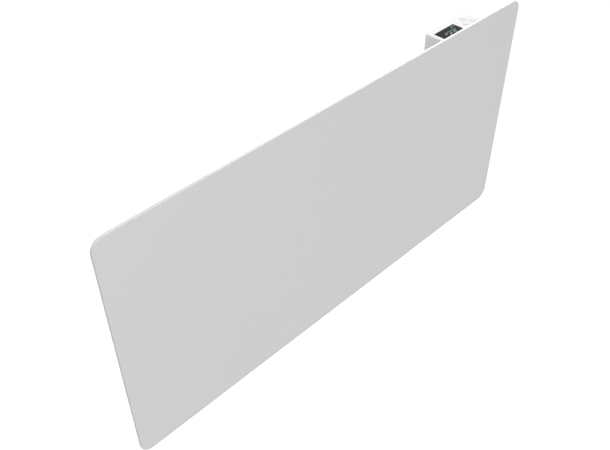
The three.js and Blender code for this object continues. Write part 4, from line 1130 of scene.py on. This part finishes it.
def make_casing():
    low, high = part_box("rear_casing")
    rear = CASING_REAR_Y
    casing = rounded_block(low, (high.x, rear, high.z), Y, CASING_CORNER)
    round_edges(casing, at_level(Y, rear), CASING_BEND, 6)
    open_side(casing, Y, low.y)
    thicken_inwards(casing, SHEET)
    weld(casing, rows_of_hoods(0, 0))
    cut(casing, rows_of_hoods(SHEET, SHEET))
    cut(casing, *air_slots(OUTLET_SLOTS, high.z), *air_slots(INLET_SLOTS, low.z))
    notch_low = (NOTCH_LEFT_X, low.y - SHEET, NOTCH_FLOOR_Z)
    notch_high = (NOTCH_RIGHT_X, NOTCH_REAR_Y, high.z + SHEET)
    holes = [block(notch_low, notch_high), *screw_holes(CASING_SCREW_HOLE)]
    for sign in (-1, 1):
        middle = sign * (LEG_OUTER_X - BRACKET_SHEET / 2)
        slot_low = (middle - HOOK_SLOT_WIDTH / 2, rear - 3 * SHEET, HOOK_SLOT_TOP_Z - HOOK_SLOT_HEIGHT)
        slot_high = (middle + HOOK_SLOT_WIDTH / 2, rear + SHEET, HOOK_SLOT_TOP_Z)
        holes.append(rounded_block(slot_low, slot_high, Y, HOOK_SLOT_CORNER, 4))
    for node, radius in (("cord_gland", GLAND_HOLE), ("room_sensor", SENSOR_HOLE)):
        foot = foot_of(node)
        below = (foot.x, foot.y, low.z - SHEET)
        holes.append(round_bar(radius, below, (foot.x, foot.y, low.z + 3 * SHEET)))
    cut(casing, *holes)
    soften(casing, EDGE_BREAK, 50)
    smooth(casing, 35)
    finish_for(casing, "casing_tray", "rear_casing")


def plate_bead(z, inset, front, rear):
    half = Vector((PLATE_BEAD_LENGTH / 2 - inset, 0, PLATE_BEAD_HEIGHT / 2 - inset))
    bead = slot_block(Vector((0, front, z)) - half, Vector((0, rear, z)) + half, Y)
    return round_edges(bead, at_level(Y, front), PLATE_BEAD_EDGE, 4)


def make_front_plate():
    low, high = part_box("front_plate")
    plate = rounded_block((low.x, PLATE_FRONT_Y, low.z), high, Y, CASING_CORNER + PLATE_BEND)
    round_edges(plate, at_level(Y, PLATE_FRONT_Y), PLATE_BEND, 4)
    open_side(plate, Y, high.y)
    thicken_inwards(plate, SHEET)
    for z in PLATE_BEAD_ROWS:
        weld(plate, plate_bead(z, 0, low.y, PLATE_FRONT_Y + SHEET / 2))
        cut(plate, plate_bead(z, SHEET, low.y + SHEET, PLATE_FRONT_Y + 2 * SHEET))
    notch_low = (NOTCH_LEFT_X - NOTCH_SLACK, PLATE_FRONT_Y + SHEET, NOTCH_FLOOR_Z)
    notch_high = (NOTCH_RIGHT_X + NOTCH_SLACK, high.y + SHEET, high.z + SHEET)
    cut(plate, block(notch_low, notch_high), *screw_holes(PLATE_SCREW_HOLE))
    soften(plate, EDGE_BREAK, 50)
    smooth(plate, 35)
    finish_for(plate, "front_plate_pressing", "front_plate")


def pan_head_screw():
    """A screw with a cross recess, drawn upright with its head standing on the origin."""
    screw = turned([(part * SCREW_HEAD_RADIUS, height) for part, height in SCREW_PROFILE])
    long_arm = RECESS_REACH * SCREW_HEAD_RADIUS
    short_arm = RECESS_HALF_WIDTH * SCREW_HEAD_RADIUS
    arms = []
    for x, y in ((long_arm, short_arm), (short_arm, long_arm)):
        arms.append(block((-x, -y, SCREW_HEAD_HEIGHT / 2), (x, y, 2 * SCREW_HEAD_HEIGHT)))
    cut(screw, weld(*arms))
    return soften(screw, SCREW_EDGE, 50)


def make_casing_screws():
    for side, sign in (("left", -1), ("right", 1)):
        for row in ("upper", "lower"):
            node = f"casing_screw_{side}_{row}"
            low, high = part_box(node)
            middle = (low + high) / 2
            face = low.x + SCREW_HEAD_HEIGHT if sign < 0 else high.x - SCREW_HEAD_HEIGHT
            screw = stand(pan_head_screw(), (face, middle.y, middle.z), (sign, 0, 0))
            finish_for(smooth(screw), node + "_pan_head", node)


def make_bottom_fittings():
    """The cord gland with grips cut round its lower end, and the room sensor."""
    foot = foot_of("cord_gland")
    gland = stand(turned(GLAND_PROFILE, 64), foot, UP)
    grips = []
    for step in range(GRIPS):
        around = math.tau * step / GRIPS
        out = Vector((math.cos(around), math.sin(around), 0)) * GRIP_RING_RADIUS
        start = foot + out + Vector((0, 0, GRIP_FOOT))
        grips.append(round_bar(GRIP_RADIUS, start, start + Vector((0, 0, GRIP_LENGTH)), 16))
    cut(gland, *grips)
    soften(gland, GLAND_EDGE, 40)
    finish_for(smooth(gland), "cord_gland_moulding", "cord_gland")
    probe = stand(turned(PROBE_PROFILE), foot_of("room_sensor"), UP)
    finish_for(smooth(probe), "sensor_probe", "room_sensor")


# Wall bracket

def make_hook():
    """The right hook: an arm that stands out of the flange, and a tongue that rises from it."""
    foot = (LEG_OUTER_X - BRACKET_SHEET, HOOK_FRONT_Y, HOOK_BOTTOM_Z)
    arm = block(foot, (LEG_OUTER_X, HOOK_ARM_REAR_Y, HOOK_ARM_TOP_Z))
    tongue = block(foot, (LEG_OUTER_X, HOOK_TONGUE_REAR_Y, HOOK_TIP_Z))
    front = all_of(along(X), at_level(Y, HOOK_FRONT_Y))
    round_edges(arm, front, HOOK_CORNER, 6)
    round_edges(tongue, all_of(front, at_level(Z, HOOK_BOTTOM_Z)), HOOK_CORNER, 6)
    round_edges(tongue, all_of(along(X), at_level(Z, HOOK_TIP_Z)), HOOK_TIP_RADIUS, 6)
    return weld(arm, tongue)


def bracket_leg(low_z, high_z):
    """The right leg: a channel with a deep outer flange, and the hook at its foot."""
    inner = LEG_OUTER_X - LEG_WIDTH
    sheet = BRACKET_SHEET
    leg = block((inner, FLANGE_FRONT_Y, low_z), (LEG_OUTER_X, 0, high_z))
    flange_front = all_of(along(X), at_level(Y, FLANGE_FRONT_Y))
    round_edges(leg, all_of(along(Z), at_level(Y, 0)), BRACKET_BEND, 5)
    round_edges(leg, all_of(flange_front, at_level(Z, high_z)), FLANGE_SHOULDER, 10)
    round_edges(leg, all_of(flange_front, at_level(Z, low_z)), FLANGE_HEEL, 6)
    above = high_z + sheet
    below = low_z - sheet
    hollow = block((inner + sheet, -FAR, below), (LEG_OUTER_X - sheet, -sheet, above))
    trim = block((inner - sheet, -FAR, below), (inner + 2 * sheet, -LEG_LIP, above))
    top_trim = block((inner - sheet, -FAR, high_z - LEG_LIP_END), (inner + sheet, -sheet, above))
    foot_trim = block((inner - sheet, -FAR, below), (inner + sheet, -sheet, low_z + LEG_LIP_END))
    for cutter in (hollow, trim, top_trim, foot_trim):
        cut(leg, cutter)
    weld(leg, make_hook())
    inside = LEG_OUTER_X - 3 * sheet
    outside = LEG_OUTER_X + sheet
    cut(leg, slot_block(
        (inside, PIN_SLOT_Y - PIN_SLOT_WIDTH / 2, PIN_SLOT_BOTTOM_Z),
        (outside, PIN_SLOT_Y + PIN_SLOT_WIDTH / 2, PIN_SLOT_TOP_Z),
        X,
    ))
    for bottom in FLANGE_WINDOW_BOTTOMS:
        window_low = (inside, FLANGE_WINDOW_FRONT_Y, bottom)
        window_high = (outside, FLANGE_WINDOW_REAR_Y, bottom + FLANGE_WINDOW_HEIGHT)
        cut(leg, rounded_block(window_low, window_high, X, FLANGE_WINDOW_CORNER))
    middle = inner + LEG_WIDTH / 2
    for z in KEYHOLE_ROWS:
        cut(leg, slot_block(
            (middle - KEYHOLE_SLOT, -3 * sheet, z - KEYHOLE_SLOT),
            (middle + KEYHOLE_SLOT, sheet, z + KEYHOLE_RISE + KEYHOLE_SLOT),
            Y,
        ))
        cut(leg, round_bar(KEYHOLE_HEAD, (middle, -3 * sheet, z), (middle, sheet, z)))
    return leg


def mirror_to_left(piece):
    """The left-hand twin of a piece that stands on the right."""
    clear_selection()
    twin = piece.copy()
    twin.data = piece.data.copy()
    bpy.context.scene.collection.objects.link(twin)
    twin.scale = (-1, 1, 1)
    settle(twin)
    bpy.ops.object.mode_set(mode="EDIT")
    bpy.ops.mesh.select_all(action="SELECT")
    bpy.ops.mesh.normals_make_consistent(inside=False)
    bpy.ops.object.mode_set(mode="OBJECT")
    return twin


def make_bracket():
    low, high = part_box("wall_bracket")
    sheet = BRACKET_SHEET
    inner = LEG_OUTER_X - LEG_WIDTH
    half = CROSS_HALF_HEIGHT
    cross = block((-inner - sheet, -CROSS_LIP, -half), (inner + sheet, 0, half))
    round_edges(cross, all_of(along(X), at_level(Y, 0)), BRACKET_BEND, 5)
    cut(cross, block((-inner - 3 * sheet, -FAR, sheet - half), (inner + 3 * sheet, -sheet, half - sheet)))
    for x in CROSS_HOLES:
        cut(cross, round_bar(CROSS_HOLE_RADIUS, (x, -3 * sheet, 0), (x, sheet, 0), 64))
    right = bracket_leg(low.z, high.z)
    left = mirror_to_left(right)
    weld(cross, right, left)
    soften(cross, BRACKET_EDGE, 50)
    smooth(cross, 35)
    finish_for(cross, "bracket_sheet", "wall_bracket")


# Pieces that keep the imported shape, with their edges broken and their rounds smoothed

SIDES = ("left", "right")
MOULDINGS = [
    "latch_left", "latch_right", "control_housing", "display_module", "terminal_block",
    "power_relay", "supply_block", "switch_frame", "switch_rocker", "gland_nut",
    "glass_bond_upper", "glass_bond_lower",
]
SHEETS = [
    "heat_shield", "cutout_clip", "earth_lug", "display_board", "power_board",
    *(f"{piece}_{side}" for piece in ("latch_keeper", "element_holder") for side in SIDES),
]
ROUNDS = [
    "element_body", "element_core", "thermal_cutout", "supply_capacitor", "earth_screw",
    "neutral_wire", "earth_wire", "live_wire", "cutout_wire", "control_lead",
    *(f"{piece}_{side}" for piece in ("element_seal", "element_bush", "holder_screw") for side in SIDES),
]


def refine(node, suffix, edge):
    piece = node_copy(node)
    if edge:
        soften(piece, edge)
    smooth(piece)
    finish_for(piece, f"{node}_{suffix}", node)


def make_refined_pieces():
    for node in MOULDINGS:
        refine(node, "moulding", MOULDED_EDGE)
    for node in SHEETS:
        refine(node, "sheet", SHEET_EDGE)
    for node in ROUNDS:
        refine(node, "round", 0)


# Studio

def light_level(tree, indirect, direct):
    """One level for rays from the camera, a gloss or glass, and another for all other rays."""
    light_path = tree.nodes.new("ShaderNodeLightPath")
    seen = light_path.outputs["Is Camera Ray"]
    for ray in ("Is Glossy Ray", "Is Transmission Ray"):
        either = tree.nodes.new("ShaderNodeMath")
        either.operation = "MAXIMUM"
        tree.links.new(seen, either.inputs[0])
        tree.links.new(light_path.outputs[ray], either.inputs[1])
        seen = either.outputs["Value"]
    level = tree.nodes.new("ShaderNodeMapRange")
    level.inputs["To Min"].default_value = indirect
    level.inputs["To Max"].default_value = direct
    tree.links.new(seen, level.inputs["Value"])
    return level.outputs["Result"]


def make_floor():
    clear_selection()
    bpy.ops.mesh.primitive_plane_add(size=FLOOR_SIZE, location=(0, 0, FLOOR_Z))
    floor = bpy.context.object
    floor.name = "studio_floor"
    material = bpy.data.materials.new("studio_floor")
    material.use_nodes = True
    tree = material.node_tree
    shader = tree.nodes["Principled BSDF"]
    shader.inputs["Base Color"].default_value = FLOOR_GREY
    shader.inputs["Roughness"].default_value = 0.9
    shader.inputs["Specular IOR Level"].default_value = 0.1
    glow = tree.nodes.new("ShaderNodeEmission")
    tree.links.new(light_level(tree, 0.0, FLOOR_GLOW), glow.inputs["Strength"])
    both = tree.nodes.new("ShaderNodeAddShader")
    tree.links.new(shader.outputs["BSDF"], both.inputs[0])
    tree.links.new(glow.outputs["Emission"], both.inputs[1])
    tree.links.new(both.outputs["Shader"], tree.nodes["Material Output"].inputs["Surface"])
    floor.data.materials.append(material)


def make_world():
    """Even room light, and plain white wherever the camera or a reflection looks past the object."""
    world = bpy.data.worlds.new("studio")
    bpy.context.scene.world = world
    world.use_nodes = True
    tree = world.node_tree
    background = tree.nodes["Background"]
    background.inputs["Color"].default_value = WHITE
    tree.links.new(light_level(tree, ROOM_LIGHT, 1.0), background.inputs["Strength"])


def make_lamps():
    for name, (place, size, power) in LAMPS.items():
        data = bpy.data.lights.new(name, "AREA")
        data.shape = "SQUARE"
        data.size = size
        data.energy = power
        lamp = bpy.data.objects.new(name, data)
        bpy.context.scene.collection.objects.link(lamp)
        lamp.location = place
        lamp.rotation_euler = (-Vector(place)).to_track_quat("-Z", "Y").to_euler()


make_camera()
dress_packed_pieces()
make_glass()
make_cap()
make_lens()
make_display()
make_keys()
make_switch_marks()
make_casing()
make_front_plate()
make_casing_screws()
make_bottom_fittings()
make_bracket()
make_refined_pieces()
make_floor()
make_world()
make_lamps()

bpy.context.scene.view_settings.view_transform = "Standard"
